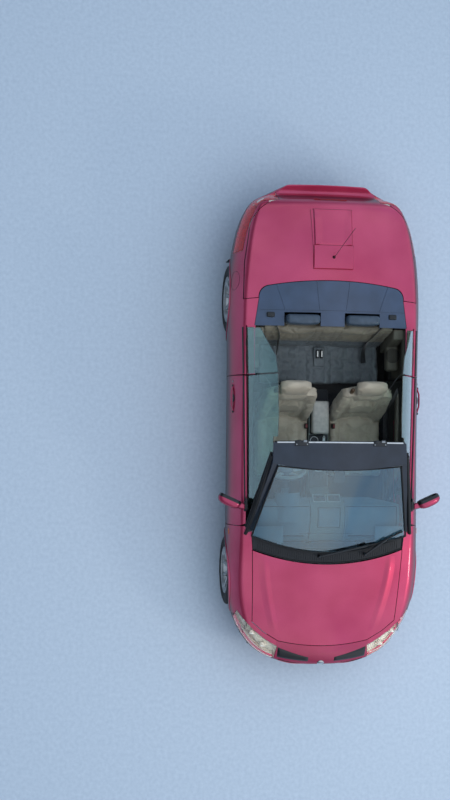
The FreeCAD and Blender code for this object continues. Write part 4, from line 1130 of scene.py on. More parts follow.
def buildFrontSeats():
    shape = cadShape("seat_left", (-seatLook["x"], 0, 0), seatLook["underside"])
    base = puffed("frontSeat", shape, seatSeams, 0.35, clothLook["voxel"], 3, clothLook["cap"])
    for name, side in sides:
        mesh = base.copy()
        mesh.transform(Matrix.Translation((seatLook["x"] * side, 0, 0)))
        seat = settleMesh("frontSeat_" + name, mesh, ["beigeHide"], "body", ["seat_" + name],
            60)
        refine(seat)
        cx = seatLook["x"] * side
        for edge in (-1, 1):
            line = [(cx + edge * seatLook["bolster"], -0.42 + 0.026 * i, 0.8) for i in range(18)]
            pipingOn("cushionSeam_%s_%d" % (name, edge), mesh, line, down, 0.0022, "beigeHide")
        # runners, front bar and side valances below the cushion
        runner = bmesh.new()
        for x in (cx - 0.17, cx + 0.17):
            for half, y1, y2, z1, z2, rounding in ((0.019, -0.385, 0.145, 0.2, 0.222, 0.003),
                    (0.013, -0.345, 0.105, 0.222, 0.24, 0.003),
                    (0.006, -0.33, 0.09, 0.238, 0.345, 0.002)):
                addBlock(runner, (x - half, y1, z1), (x + half, y2, z2), rounding)
        addRod(runner, (cx - 0.16, -0.4, 0.262), (cx + 0.16, -0.4, 0.262), 0.009, 16, 0.002)
        for x in (-0.16, 0.16):
            addRod(runner, (cx + x, -0.4, 0.262), (cx + x, -0.3, 0.248), 0.007, 12)
        settle("seatRunners_" + name, runner, ["pressedSteel"])
        valance = bmesh.new()
        addBlockAt(valance, (cx + side * 0.232, -0.13, 0.356), (0.014, 0.28, 0.056), 0.012, 4)
        addBlockAt(valance, (cx + side * 0.25, -0.23, 0.3555), (0.01, 0.07, 0.0105), 0.007, 3)
        knob = [(0.0, 0.0), (0.0, 0.03), (-0.004, 0.036), (-0.012, 0.036), (-0.016, 0.032), (-0.02, 0.01)]
        addTurned(valance, knob, (cx + side * 0.268, 0.06, 0.4), (side, 0, 0), 32)
        addBlockAt(valance, (cx - side * 0.232, -0.13, 0.35), (0.012, 0.27, 0.05), 0.01, 4)
        settle("seatValances_" + name, valance, ["darkAbs"])
        # the lever beside the head restraint
        lever = bmesh.new()
        pin = Vector((cx - 0.158, 0.312, 1.0))
        addTurned(lever, [(0.052, 0.0), (0.05, 0.01), (0.04, 0.017), (0.01, 0.0185), (-0.03, 0.0175),
                (-0.04, 0.012),
                (-0.044, 0.0)], pin, (0.0, 0.3, 1.0), 28)
        settle("backRelease_" + name, lever, ["brownAbs"])
        # map pocket on the back of the seat
        pocket = bmesh.new()
        lean = Matrix.Rotation(math.radians(-seatLook["recline"]), 4, "X")
        middle = Vector((cx, 0, 0)) + Vector(seatLook["backPivot"]) + lean.to_3x3() @ Vector((0, 0.088, 0.3))
        addBlockAt(pocket, middle, (0.17, 0.012, 0.135), 0.014, 4, lean)
        settle("mapPocket_" + name, pocket, ["taupeHide"])


# rear bench for two in grey hide, its upper part beige
benchLook = {"voxel": 0.0105, "seams": (0.062, 0.52, 0.12), "marks": (0.535, 0.64), "backMarks": (0.57, 0.79),
    "topSplit": 0.57}


def benchSeams(spot, normal):
    gap = bandGap(abs(spot.x), benchLook["seams"])
    inPlace = 0.12 < abs(spot.x) < 0.52
    if spot.z < 0.5 and normal.z > 0.4 and spot.y < 0.8:
        return min(gap, bandGap(spot.y, benchLook["marks"])) if inPlace else gap
    if spot.z > 0.5 and normal.y < -0.3:
        gap = min(gap, bandGap(spot.z, benchLook["backMarks"])) if inPlace else gap
        return min(gap, abs(spot.z - benchLook["topSplit"]))
    if spot.z > benchLook["topSplit"] and normal.z > 0.5:
        return min(abs(abs(spot.x) - 0.06), abs(abs(spot.x) - 0.5), 1.0)
    return 1.0


def buildBench():
    shape = cadShape("rear_bench")
    mesh = puffed("rearBench", shape, benchSeams, 0.345, benchLook["voxel"], 3, clothLook["cap"])
    bench = settleMesh("rearBench", mesh, ["taupeHide", "rearTopHide"], "body",
        ["rear_bench"], 60)
    for face in mesh.polygons:
        face.material_index = 1 if face.center.z > benchLook["topSplit"] else 0
    refine(bench)
    # flat middle tray with two buckles
    tray = bmesh.new()
    addBlock(tray, (-0.052, 0.56, 0.452), (0.052, 0.74, 0.476), 0.01, 3)
    with inFinish(tray, 1):
        for x in (-0.02, 0.02):
            addBlock(tray, (x - 0.013, 0.636, 0.47), (x + 0.013, 0.716, 0.505), 0.006, 3)
    with inFinish(tray, 2):
        for x in (-0.02, 0.02):
            addBlock(tray, (x - 0.006, 0.65, 0.5), (x + 0.006, 0.704, 0.509), 0.002, 2)
    settle("rearBuckles", tray, ["taupeHide", "darkAbs", "whiteAbs"])


def buildRearRestraints():
    # two pads on chromed hoops that stand in the deck's recesses
    for name, side in sides:
        x = 0.272 * side
        pad = bmesh.new()
        addBlock(pad, (x - 0.154, 0.904, 0.915), (x + 0.154, 0.986, 1.08), 0.032, 6)
        bmesh.ops.subdivide_edges(pad, edges=pad.edges, cuts=2, use_grid_fill=True)
        for v in pad.verts:
            crown = 0.01 * (1 - ((v.co.x - x) / 0.15) ** 2)
            v.co.z += crown * (v.co.z > 1.0)
            v.co.y -= crown * (v.co.y < 0.94)
        made = settle("rearRestraint_" + name, pad, ["blackHide"], "body", ["rear_headrests"],
            60)
        half = ((0.09, 0.966, 0.8), (0.09, 0.966, 0.9), (0.09, 0.958, 0.99), (0.082, 0.955, 1.03))
        hoop = [(x - w, y, z) for w, y, z in half] + [(x, 0.955, 1.036)] + [(x + w, y, z) for w, y,
            z in reversed(half)]
        bentTube("rearHoop_" + name, hoop, 0.009, "chromePlate", order=3)
        welt = []
        for k in range(13):
            a = math.pi * k / 12
            welt.append((x - 0.147 * math.cos(a) * (1 - 0.02 * math.sin(a)), 0.95,
                    0.985 + 0.098 * math.sin(a) ** 0.35))
        bentTube("rearRestraintWelt_" + name, welt, 0.0026, "blackHide", order=3)


buildFrontSeats()
print("front seats built")
buildBench()
buildRearRestraints()
print("rear seats built")


# dashboard: raised centre with lid, four vents, dials, heater knobs and a blank display
dashLook = {"centreHalf": 0.158, "lid": ((-0.09, 0.112), (-0.905, -0.735)), "ventRows": 5,
    "dials": ((-0.412, 0.845, 0.044), (-0.308, 0.845, 0.044), (-0.36, 0.872, 0.02)),
    "dialFace": -0.6765}


def buildDashPanels(skin):
    half = dashLook["centreHalf"]
    panel = gridAbove(spread(-half, half, 12, 0.006), spread(-1.015, -0.668, 16, 0.006))
    sheet("dashCentrePanel", skin, panel, down, 0.007, "stoneAbs")
    (x1, x2), (y1, y2) = dashLook["lid"]
    sheet("dashLid", skin, gridAbove(spread(x1, x2, 8, 0.01), spread(y1, y2, 8, 0.01)), down, 0.0135,
        "softDash")
    # dark joints between the mouldings
    joints = bmesh.new()
    for line in (((x1, y1), (x2, y1), (x2, y2), (x1, y2), (x1, y1)), ((-half, -0.672), (-half, -1.012)),
            ((half, -0.672), (half, -1.012)), ((-0.246, -0.962), (0.241, -0.962)),
            ((-0.172, -0.722), (-0.636, -0.722), (-0.636, -0.99)),
            ((0.172, -0.722), (0.636, -0.722), (0.636, -0.99))):
        spots = []
        for (xa, ya), (xb, yb) in zip(line[:-1], line[1:]):
            spots += [(xa + (xb - xa) * k / 6, ya + (yb - ya) * k / 6) for k in range(7)]
        inLid = line[0] == (x1, y1)
        laid = []
        for x, y in spots:
            spot, normal = onSkin(skin, (x, y, 1.6))
            laid.append(spot + normal * (0.0115 if inLid else 0.0062 if abs(spot.x) < half else 0.0035))
        for near, far in zip(laid[:-1], laid[1:]):
            if (near - far).length > 0.001:
                addRod(joints, near, far, 0.0036, 6)
    settle("dashJoints", joints, ["darkAbs"])
    for name, side in sides:
        pad = gridAbove(spread(0.172 * side, 0.64 * side, 14, 0.008 * side), spread(-1.012, -0.72, 10, 0.008))
        sheet("dashPad_" + name, skin, pad, down, 0.004, "softDash")
        # demister slot along the screen
        slot = gridAbove(spread(0.2 * side, 0.6 * side, 10, 0.003 * side), spread(-0.996, -0.976, 3, 0.003))
        sheet("demister_" + name, skin, slot, down, 0.006, "darkAbs")


def buildVents(skin):
    vents = bmesh.new()
    tilt = Matrix.Rotation(math.radians(-32), 4, "X")
    for cx in (-0.067, 0.067):
        spot, normal = onSkin(skin, (cx, -0.664, 1.6))
        ventPlace = Matrix.Translation((cx, -0.652, spot.z + 0.004)) @ tilt
        with inFinish(vents, 1):
            for x, y, hx, hy in ((0, -0.037, 0.06, 0.003), (0, 0.037, 0.06, 0.003), (-0.057, 0, 0.003, 0.04),
                    (0.057, 0, 0.003, 0.04)):
                addBlockAt(vents, ventPlace @ Vector((x, y, 0.004)), (hx, hy, 0.007), 0.0025, 2, tilt)
        slat = tilt @ Matrix.Rotation(math.radians(35), 4, "X")
        for k in range(dashLook["ventRows"]):
            place = ventPlace @ Vector((0, -0.026 + 0.013 * k, 0.001))
            addBlockAt(vents, place, (0.053, 0.0055, 0.001), 0.0004, 1, slat)
        addBlockAt(vents, ventPlace @ Vector((0, 0, 0.006)), (0.005, 0.012, 0.004), 0.0015, 2, tilt)
        addBlockAt(vents, ventPlace @ Vector((0, 0, -0.01)), (0.057, 0.037, 0.006), 0.001, 1, tilt)
    for x in (-0.592, 0.592):
        spot, normal = onSkin(skin, (x, 0.2, 0.752), (0, -1, 0))
        addTurned(vents, [(0.001, 0.0), (0.001, 0.034), (0.006, 0.037), (0.012, 0.04), (0.009, 0.046),
                (-0.006, 0.047)],
            spot, (0, 1, 0.15), 40)
        for k in range(4):
            z = spot.z - 0.021 + 0.014 * k
            addBlock(vents, (x - 0.032, spot.y + 0.003, z - 0.001), (x + 0.032, spot.y + 0.011, z + 0.001),
                0.0004, 1)
    settle("dashVents", vents, ["darkAbs", "brightTrim"])


def buildStack(skin):
    # blank display, its row of buttons and three heater knobs
    stack = bmesh.new()
    y = onSkin(skin, (0, 0.2, 0.735), (0, -1, 0))[0].y
    addBlock(stack, (-0.095, y - 0.01, 0.69), (0.095, y + 0.007, 0.774), 0.006, 3)
    with inFinish(stack, 1):
        addBlock(stack, (-0.082, y + 0.005, 0.738), (0.082, y + 0.009, 0.766), 0.002, 2)
        for k in range(6):
            addBlockAt(stack, (-0.075 + 0.03 * k, y + 0.008, 0.727), (0.011, 0.003, 0.005), 0.002, 2)
    with inFinish(stack, 2):
        knob = [(0.017, 0.0), (0.017, 0.009), (0.014, 0.0115), (0.002, 0.0135), (0.0, 0.0165),
            (-0.002, 0.0165)]
        for x in (-0.062, 0.0, 0.062):
            addTurned(stack, knob, (x, y + 0.006, 0.704), (0, 1, 0), 32)
    settle("dashStack", stack, ["stoneAbs", "darkDisplay", "satinBlack"])


def buildDials():
    dials = bmesh.new()
    for x, z, r in dashLook["dials"]:
        middle = Vector((x, dashLook["dialFace"], z))
        with inFinish(dials, 1):
            addTurned(dials, [(0.0, 0.0), (0.0, r * 0.93)], middle, (0, 1, 0), 40)
        with inFinish(dials, 2):
            bezel = [(0.0, r * 0.93), (0.006, r * 0.95), (0.009, r), (0.006, r * 1.05), (-0.002, r * 1.06)]
            addTurned(dials, bezel, middle, (0, 1, 0), 40)
        with inFinish(dials, 3):
            for k in range(13):
                a = math.radians(225 - 22.5 * k)
                out = Vector((r * math.cos(a), 0, r * math.sin(a)))
                mark = middle + Vector((0, 0.001, 0))
                addRod(dials, mark + out * 0.78, mark + out * 0.88, 0.0007, 5)
            addRod(dials, (x, -0.674, z), (x - r * 0.55, -0.674, z - r * 0.45), 0.0012, 6)
            addRod(dials, (x, -0.6765, z), (x, -0.671, z), 0.005, 16, 0.001)
    settle("dashDials", dials, ["darkAbs", "darkDisplay", "brightTrim", "whiteAbs"])


def buildGloveBox(skin):
    glove = bmesh.new()
    spots = [onSkin(skin, (x, 0.2, z), (0, -1, 0))[0] + Vector((0, 0.0008, 0))
        for x, z in ((0.215, 0.7), (0.545, 0.7), (0.545, 0.625), (0.215, 0.625))]
    addRods(glove, spots + spots[:1], 0.0022, 8)
    addBlock(glove, (0.355, spots[0].y - 0.0028, 0.69), (0.405, spots[0].y + 0.0092, 0.704), 0.004, 3)
    settle("gloveBoxEdge", glove, ["darkAbs"])


# steering wheel with a padded centre, four spokes and stalks behind it
# the rim's radius, its grip's radius and the steps round both
wheelLook = {"middle": (-0.36, -0.395, 0.72), "rake": -66, "rim": (0.172, 0.0148, 96, 20),
    "spokes": (6, 174, 232, 308)}
wheelPlace = Matrix.Translation(wheelLook["middle"]) @ Matrix.Rotation(math.radians(wheelLook["rake"]), 4,
    "X")


def buildSteeringWheel():
    wheel = bmesh.new()
    radius, grip, rimSteps, sectionSteps = wheelLook["rim"]
    rings = []
    for i in range(rimSteps):
        a = math.tau * i / rimSteps
        thumb = 0.0016 * max(0.0, math.cos(2 * a - 0.5)) ** 4
        ring = []
        for k in range(sectionSteps):
            b = math.tau * k / sectionSteps
            r = grip + thumb + 0.0007 * math.cos(b * 9) * (1 if math.cos(b) < 0 else 0)
            radial = radius + r * math.cos(b)
            ring.append(wheel.verts.new((radial * math.cos(a), radial * math.sin(a), r * 1.12 * math.sin(b))))
        rings.append(ring)
    joinRings(wheel, rings + rings[:1])
    with inFinish(wheel, 1):
        # spokes widen into the centre pad
        for angle in wheelLook["spokes"]:
            a = math.radians(angle)
            along, across = Vector((math.cos(a), math.sin(a), 0)), Vector((-math.sin(a), math.cos(a), 0))
            spoke = []
            for d, w, t, z in ((0.03, 0.03, 0.01, -0.006), (0.07, 0.024, 0.009, -0.009),
                    (0.115, 0.015, 0.0075, -0.006),
                    (0.15, 0.0125, 0.007, -0.001), (0.168, 0.015, 0.008, 0.0)):
                ring = [wheel.verts.new(along * d + across * w * c + Vector((0, 0, z + t * s)))
                    for c, s in ((-1, -0.5), (-0.7, 0.7), (0, 1), (0.7, 0.7), (1, -0.5), (0, -1))]
                spoke.append(ring)
            joinRings(wheel, spoke)
    with inFinish(wheel, 2):
        pad = [(-0.03, 0.04), (-0.026, 0.062), (-0.006, 0.07), (0.01, 0.066), (0.02, 0.05), (0.0235, 0.028),
            (0.024, 0.0)]
        addTurned(wheel, pad, (0, -0.004, 0), (0, 0, 1), 48)
    with inFinish(wheel, 3):
        addTurned(wheel, [(-0.02, 0.03), (-0.06, 0.034), (-0.075, 0.03), (-0.076, 0.011)], (0, 0, 0),
            (0, 0, 1), 40)
        addRod(wheel, (0, 0, -0.3), (0, 0, -0.02), 0.0108, 20)
    bmesh.ops.transform(wheel, matrix=wheelPlace, verts=wheel.verts)
    settle("steeringWheel", wheel, ["paleGreyHide", "brightTrim", "softDash", "darkAbs"],
        "steering_wheel", ["steering_wheel"], 40)
    shroud = bmesh.new()
    addTurned(shroud, [(-0.3, 0.048), (-0.18, 0.052), (-0.112, 0.046), (-0.1, 0.04), (-0.099, 0.014)],
        (0, 0, 0),
        (0, 0, 1), 36)
    for reach in (1, -1):
        addRod(shroud, (0.04 * reach, 0.0, -0.118), (0.132 * reach, 0.016, -0.098), 0.0055, 12, 0.001)
        addRod(shroud, (0.13 * reach, 0.016, -0.0985), (0.178 * reach, 0.022, -0.089), 0.0085, 16, 0.002)
    bmesh.ops.transform(shroud, matrix=wheelPlace, verts=shroud.verts)
    settle("columnShroud", shroud, ["darkAbs"])


# centre console: padded armrest, gear lever in its gaiter, handbrake, cup holders and switches
def buildArmrest():
    rest = bmesh.new()
    addBlock(rest, (-0.081, -0.068, 0.496), (0.081, 0.237, 0.57), 0.024, 6)
    bmesh.ops.subdivide_edges(rest, edges=rest.edges, cuts=1, use_grid_fill=True)
    for v in rest.verts:
        if v.co.z > 0.55:
            v.co.z += 0.008 * (1 - (v.co.x / 0.081) ** 2)
    armrest = settle("armrest", rest, ["paleGreyHide"], sharpAt=60)
    base = bmesh.new()
    addBlock(base, (-0.084, -0.07, 0.466), (0.084, 0.24, 0.503), 0.008, 3)
    addBlock(base, (-0.088, -0.56, 0.462), (0.088, -0.075, 0.4785), 0.006, 3)
    addBlock(base, (-0.03, -0.078, 0.51), (0.03, -0.064, 0.532), 0.006, 3)
    settle("consoleTop", base, ["darkAbs"])


def buildLevers():
    lever = bmesh.new()
    gaiter = [(0.0, 0.052), (0.006, 0.05), (0.012, 0.053), (0.02, 0.044), (0.027, 0.045), (0.036, 0.034),
        (0.043, 0.034),
        (0.052, 0.022), (0.06, 0.014), (0.064, 0.01)]
    addTurned(lever, gaiter, (0.0, -0.36, 0.478), (0, 0.06, 1), 36)
    with inFinish(lever, 1):
        addTurned(lever, [(0.0, 0.058), (0.005, 0.057), (0.0055, 0.052), (0.001, 0.05)], (0.0, -0.36, 0.478),
            (0, 0, 1), 48)
        addRod(lever, (0.0, -0.356, 0.52), (0.0, -0.349, 0.56), 0.0075, 16)
    with inFinish(lever, 0):
        knob = [(-0.026, 0.0), (-0.024, 0.014), (-0.006, 0.0235), (0.008, 0.0265), (0.02, 0.0235),
            (0.027, 0.014),
            (0.029, 0.0)]
        addTurned(lever, knob, (0.0, -0.348, 0.578), (0, 0.1, 1), 32)
    with inFinish(lever, 2):
        addRod(lever, (0.036, -0.3, 0.48), (0.034, -0.175, 0.528), 0.0095, 14, 0.002)
        addRod(lever, (0.034, -0.18, 0.526), (0.033, -0.092, 0.556), 0.0135, 18, 0.004)
    with inFinish(lever, 1):
        addRod(lever, (0.033, -0.094, 0.5555), (0.0328, -0.086, 0.558), 0.006, 14, 0.001)
        for x, y in ((-0.042, -0.215), (-0.042, -0.13)):
            ring = [(0.0, 0.0335), (0.002, 0.036), (0.002, 0.038), (-0.001, 0.04)]
            addTurned(lever, ring, (x, y, 0.4785), (0, 0, 1), 36)
    with inFinish(lever, 2):
        for k in range(4):
            x = -0.045 + 0.03 * k
            addBlock(lever, (x - 0.011, -0.48, 0.476), (x + 0.011, -0.448, 0.486), 0.003, 2)
    settle("gearAndBrake", lever, ["blackHide", "brightTrim", "darkAbs"])


def buildPedals():
    pedals = bmesh.new()
    lean = Matrix.Rotation(math.radians(-35), 4, "X")
    for x, w, y in ((-0.262, 0.032, -0.85), (-0.352, 0.032, -0.85), (-0.452, 0.022, -0.87)):
        tall = 0.03 if w > 0.03 else 0.055
        addBlockAt(pedals, (x, y, 0.36), (w, 0.008, tall), 0.005, 3, lean)
        with inFinish(pedals, 1):
            addRod(pedals, (x, y - 0.008, 0.372), (x, -0.965, 0.62), 0.007, 10)
    settle("pedals", pedals, ["rubberSeal", "pressedSteel"])


# three-point belts and buckles
def webbing(name, side, points):
    # flat strap, its points (x, y, z, twist) given for the left
    bentTube(name, mirrored(side, points), 0.0, "beltWebbing", order=3, flat=(0.046, 0.0024))


frontBelts = {
    "frontBeltUpper_": ((0.7, 0.505, 0.93, 0.2), (0.655, 0.48, 0.962, 0.2), (0.6, 0.43, 0.985, 0.2),
        (0.56, 0.372, 0.99, 0.25), (0.54, 0.33, 0.965, 0.3)),
    "frontBeltSide_": ((0.612, 0.33, 0.985, 0.0), (0.618, 0.262, 0.84, 0.0), (0.622, 0.2, 0.64, 0.0),
        (0.626, 0.15, 0.43, 0.0), (0.64, 0.12, 0.262, 0.0))}
rearBelt = ((0.555, 0.985, 1.0, 0.5), (0.52, 0.935, 0.93, 0.45), (0.468, 0.872, 0.905, 0.35),
    (0.44, 0.82, 0.8, 0.3), (0.42, 0.792, 0.64, 0.3), (0.405, 0.7, 0.5, 0.5),
    (0.42, 0.6, 0.492, 1.0))


def buildBelts():
    for name, side in sides:
        for piece, points in frontBelts.items():
            webbing(piece + name, side, points)
        guide = bmesh.new()
        addBlockAt(guide, (side * 0.7, 0.5075, 0.919), (0.016, 0.0375, 0.019), 0.008, 3)
        addBlockAt(guide, (side * 0.13, 0.005, 0.4875), (0.012, 0.025, 0.0575), 0.008, 3)
        with inFinish(guide, 1):
            addBlockAt(guide, (side * 0.13, 0.005, 0.545), (0.009, 0.018, 0.004), 0.002, 2)
        settle("frontBeltParts_" + name, guide, ["darkAbs", "redButton"])
        webbing("rearBeltDown_" + name, side, rearBelt)
        outlet = bmesh.new()
        addBlockAt(outlet, (side * 0.556, 0.982, 0.9975), (0.036, 0.022, 0.0125), 0.009, 3)
        settle("rearBeltOutlet_" + name, outlet, ["darkAbs"])


# interior mirror, its pod on the screen, and folded visors
def buildHeaderParts():
    pod = bmesh.new()
    addOutline(pod, [(-0.05, -0.5, 1.252), (0.062, -0.5, 1.252), (0.05, -0.395, 1.312),
            (-0.036, -0.395, 1.312)],
        (0, 0.014, -0.042), 0.01, 3)
    addRod(pod, (0.006, -0.43, 1.27), (0.006, -0.38, 1.262), 0.01, 14)
    lean = Matrix.Rotation(math.radians(12), 4, "Z")
    addBlock(pod, (-0.11, -0.392, 1.228), (0.122, -0.358, 1.296), 0.016, 4, lean)
    settle("interiorMirror", pod, ["darkAbs"])
    visors = bmesh.new()
    for x1, x2 in ((-0.5, -0.13), (0.13, 0.5)):
        addBlock(visors, (x1, -0.335, 1.306), (x2, -0.19, 1.322), 0.007, 3)
    settle("sunVisors", visors, ["paleGreyHide"])


dashSkin = skinOf("dashboard")
buildDashPanels(dashSkin)
buildVents(dashSkin)
buildStack(dashSkin)
buildDials()
buildGloveBox(dashSkin)
buildSteeringWheel()
buildArmrest()
buildLevers()
buildPedals()
buildBelts()
buildHeaderParts()
print("cabin built")


# door and side trims inside the cabin, laid over the inner walls
trimLook = {"proud": 0.006, "topX": (0.757, 0.748, 0.728, 0.704, 0.692)}


def wallTrim(name, skin, side, ys, heights, topXs, finish, body):
    # down the inner wall: first dropped from above, then pushed outwards from the cabin
    starts = [[((x + flare(y)) * side, y, 1.3) for x in topXs] + [(0.3 * side, y,
            z) for z in heights] for y in ys]
    ways = [[down] * len(topXs) + [(side, 0, 0)] * len(heights)] * len(ys)
    shape = bmesh.new()
    layPatch(shape, skin, starts, ways, trimLook["proud"])
    settle(name, shape, [finish], body=body, sharpAt=45)


def buildDoorTrim(name, side):
    skin = skinOf("door_" + name)
    body = "door_" + name
    ys = spread(-0.63, 0.425, 22, 0.006)
    for piece, heights, topXs, finish in (
            ("doorCapping_", [0.905, 0.88, 0.85, 0.82, 0.8, 0.794], trimLook["topX"], "darkVinyl"),
            ("doorPanel_", spread(0.79, 0.675, 5, 0.004), (), "doorVinyl"),
            ("doorLower_", spread(0.59, 0.335, 12, 0.004), (), "darkVinyl")):
        wallTrim(piece + name, skin, side, ys, heights, topXs, finish, body)
    rest = bmesh.new()
    addOutline(rest, mirrored(side, ((0.69, -0.5, 0.605), (0.69, -0.455, 0.668), (0.69, 0.3, 0.68),
            (0.69, 0.345, 0.62), (0.69, 0.3, 0.6))), (side * 0.08, 0, 0), 0.012, 4)
    armrest = settle("doorArmrest_" + name, rest, ["doorVinyl"], body=body, sharpAt=50)
    detail = bmesh.new()
    spot, normal = onSkin(skin, (0.3 * side, -0.33, 0.76), (side, 0, 0))
    addBlockAt(detail, spot, (0.012, 0.06, 0.022), 0.008, 3)
    with inFinish(detail, 1):
        addBlockAt(detail, spot + Vector((-0.018 * side, 0.0025, 0)), (0.004, 0.0425, 0.01), 0.0035, 3)
    for y in (-0.3625, -0.3075):
        addBlockAt(detail, (side * 0.715, y, 0.679), (0.01, 0.0175, 0.007), 0.003, 2)
    # speaker with its rings
    spot, normal = onSkin(skin, (0.3 * side, -0.52, 0.5), (side, 0, 0))
    axis = (-side, 0, 0.06)
    addTurned(detail, [(0.01, 0.0), (0.012, 0.05), (0.014, 0.064), (0.012, 0.07), (0.0, 0.074)], spot, axis,
        48)
    for k in range(6):
        r = 0.008 + 0.01 * k
        addTurned(detail, [(0.0105, r - 0.002), (0.0135, r), (0.0105, r + 0.002)], spot, axis, 36)
    settle("doorDetails_" + name, detail, ["darkAbs", "brightTrim"], body)
    corner = bmesh.new()
    addOutline(corner, mirrored(side, ((0.748, -0.738, 0.936), (0.748, -0.64, 0.936), (0.748, -0.65, 0.992),
            (0.748, -0.7, 0.972))), (side * 0.014, 0, 0), 0.004, 2)
    settle("mirrorCorner_" + name, corner, ["satinBlack"], body)


def buildQuarterTrim(name, side):
    skin = skinOf("quarter_" + name)
    heights = [0.905, 0.88, 0.85, 0.8, 0.74, 0.66, 0.58, 0.5, 0.42, 0.37]
    wallTrim("quarterTrim_" + name, skin, side, spread(0.462, 0.872, 10, 0.006), heights, trimLook["topX"],
        "sideVinyl", "body")
    # cover on the front face of the post behind the door, without the outer two stations under the seal
    starts = [[(side * x, 0.1, z) for x in spread(0.61, 0.742, 8, 0.004)] for z in spread(0.345, 0.88, 12,
            0.004)]
    post = bmesh.new()
    layPatch(post, skin, starts, [[(0, 1, 0)] * 8] * len(starts), 0.002)
    settle("postCover_" + name, post, ["darkVinyl"], sharpAt=50)
    # padded elbow rest beside the rear seat with a speaker grille in it
    pad = bmesh.new()
    addBlock(pad, (side * 0.598, 0.52, 0.56), (side * 0.706, 0.88, 0.668), 0.024, 5)
    settle("quarterPad_" + name, pad, ["sideVinyl"], sharpAt=50)
    grille = bmesh.new()
    centre = (side * 0.652, 0.66, 0.6685)
    for k in range(5):
        r = 0.0105 * (k + 1)
        addTurned(grille, [(0.0, r - 0.0025), (0.003, r), (0.0, r + 0.0025)], centre, (0, 0, 1), 36)
    addTurned(grille, [(0.0, 0.06), (0.004, 0.062), (0.0, 0.066)], centre, (0, 0, 1), 40)
    settle("quarterSpeaker_" + name, grille, ["darkAbs"])
    # side panel between the rear seat back and the deck
    panel = bmesh.new()
    addOutline(panel, mirrored(side, ((0.596, 0.7, 0.42), (0.596, 0.884, 0.42), (0.596, 0.884, 0.9),
            (0.596, 0.79, 0.88), (0.596, 0.74, 0.67))), (side * 0.1, 0, 0), 0.014,
        4)
    settle("quarterPost_" + name, panel, ["sideVinyl"], sharpAt=50)


# carpets, mats and sill plates, their blocks given for the left: two corners, then the rounding
carpetBlocks = (((0.56, -0.84, 0.199), (0.694, 0.335, 0.209), 0.004),
    ((0.098, -0.965, 0.199), (0.57, 0.335, 0.209), 0.004),
    ((0.098, -0.965, 0.2), (0.112, 0.335, 0.36), 0.004),
    ((0.69, -0.9, 0.2), (0.716, 0.44, 0.334), 0.008))
matBlocks = (((0.15, -0.94, 0.208), (0.64, -0.48, 0.2155), 0.003),
    ((0.15, 0.13, 0.208), (0.64, 0.322, 0.2155), 0.003))


def addSideBlocks(shape, side, blocks):
    for low, high, rounding in blocks:
        addBlock(shape, *mirrored(side, (low, high)), rounding)


def buildCarpets():
    carpet, mats, plates = bmesh.new(), bmesh.new(), bmesh.new()
    for name, side in sides:
        # the wheel house takes the outer front corner of each footwell
        addSideBlocks(carpet, side, carpetBlocks)
        lean = ((0.098, -0.965, 0.2), (0.098, -1.005, 0.43), (0.098, -1.012, 0.64), (0.098, -1.004, 0.64),
            (0.098, -0.996, 0.43), (0.098, -0.955, 0.212))
        addOutline(carpet, mirrored(side, lean), (side * 0.472, 0, 0))
        addSideBlocks(mats, side, matBlocks)
        addBlock(plates, (side * 0.722, -0.78, 0.335), (side * 0.79, 0.3, 0.3385), 0.001, 1)
        for k in range(5):
            x = side * (0.73 + 0.013 * k)
            addBlock(plates, (x - 0.002, -0.74, 0.338), (x + 0.002, 0.26, 0.3395), 0.0004, 1)
    slope = [(-0.594, 0.322, 0.2), (-0.594, 0.412, 0.338), (-0.594, 0.42, 0.334), (-0.594, 0.336, 0.2)]
    addOutline(carpet, slope, (1.188, 0, 0))
    addBlock(carpet, (-0.108, -0.7, 0.352), (0.108, 0.35, 0.366), 0.006, 2)
    settle("carpets", carpet, ["needleCarpet"])
    settle("footMats", mats, ["needleCarpet"])
    settle("sillPlates", plates, ["brightTrim"])


def buildSillCover(name, side):
    starts = [[(side * 1.4, y, z) for z in spread(0.332, 0.236, 6, 0.004)] for y in spread(-0.874, 0.776, 20,
            0.005)]
    sheet("sillCover_" + name, skinOf("floor_pan"), starts, (-side, 0, 0), 0.003, "plasticPaint",
        sharpAt=50)


for name, side in sides:
    buildSillCover(name, side)
    buildDoorTrim(name, side)
    buildQuarterTrim(name, side)
buildCarpets()
print("trims and carpets built")


# windscreen surround, header strip and latch receivers
sealRadius = 0.0075


def acrossCar(xs, y, bend, z, drop):
    # a line across the car that bends backwards and drops towards its ends
    return [(x, y + bend * x * x, z - drop * x * x) for x in (*(-x for x in reversed(xs)), 0, *xs)]


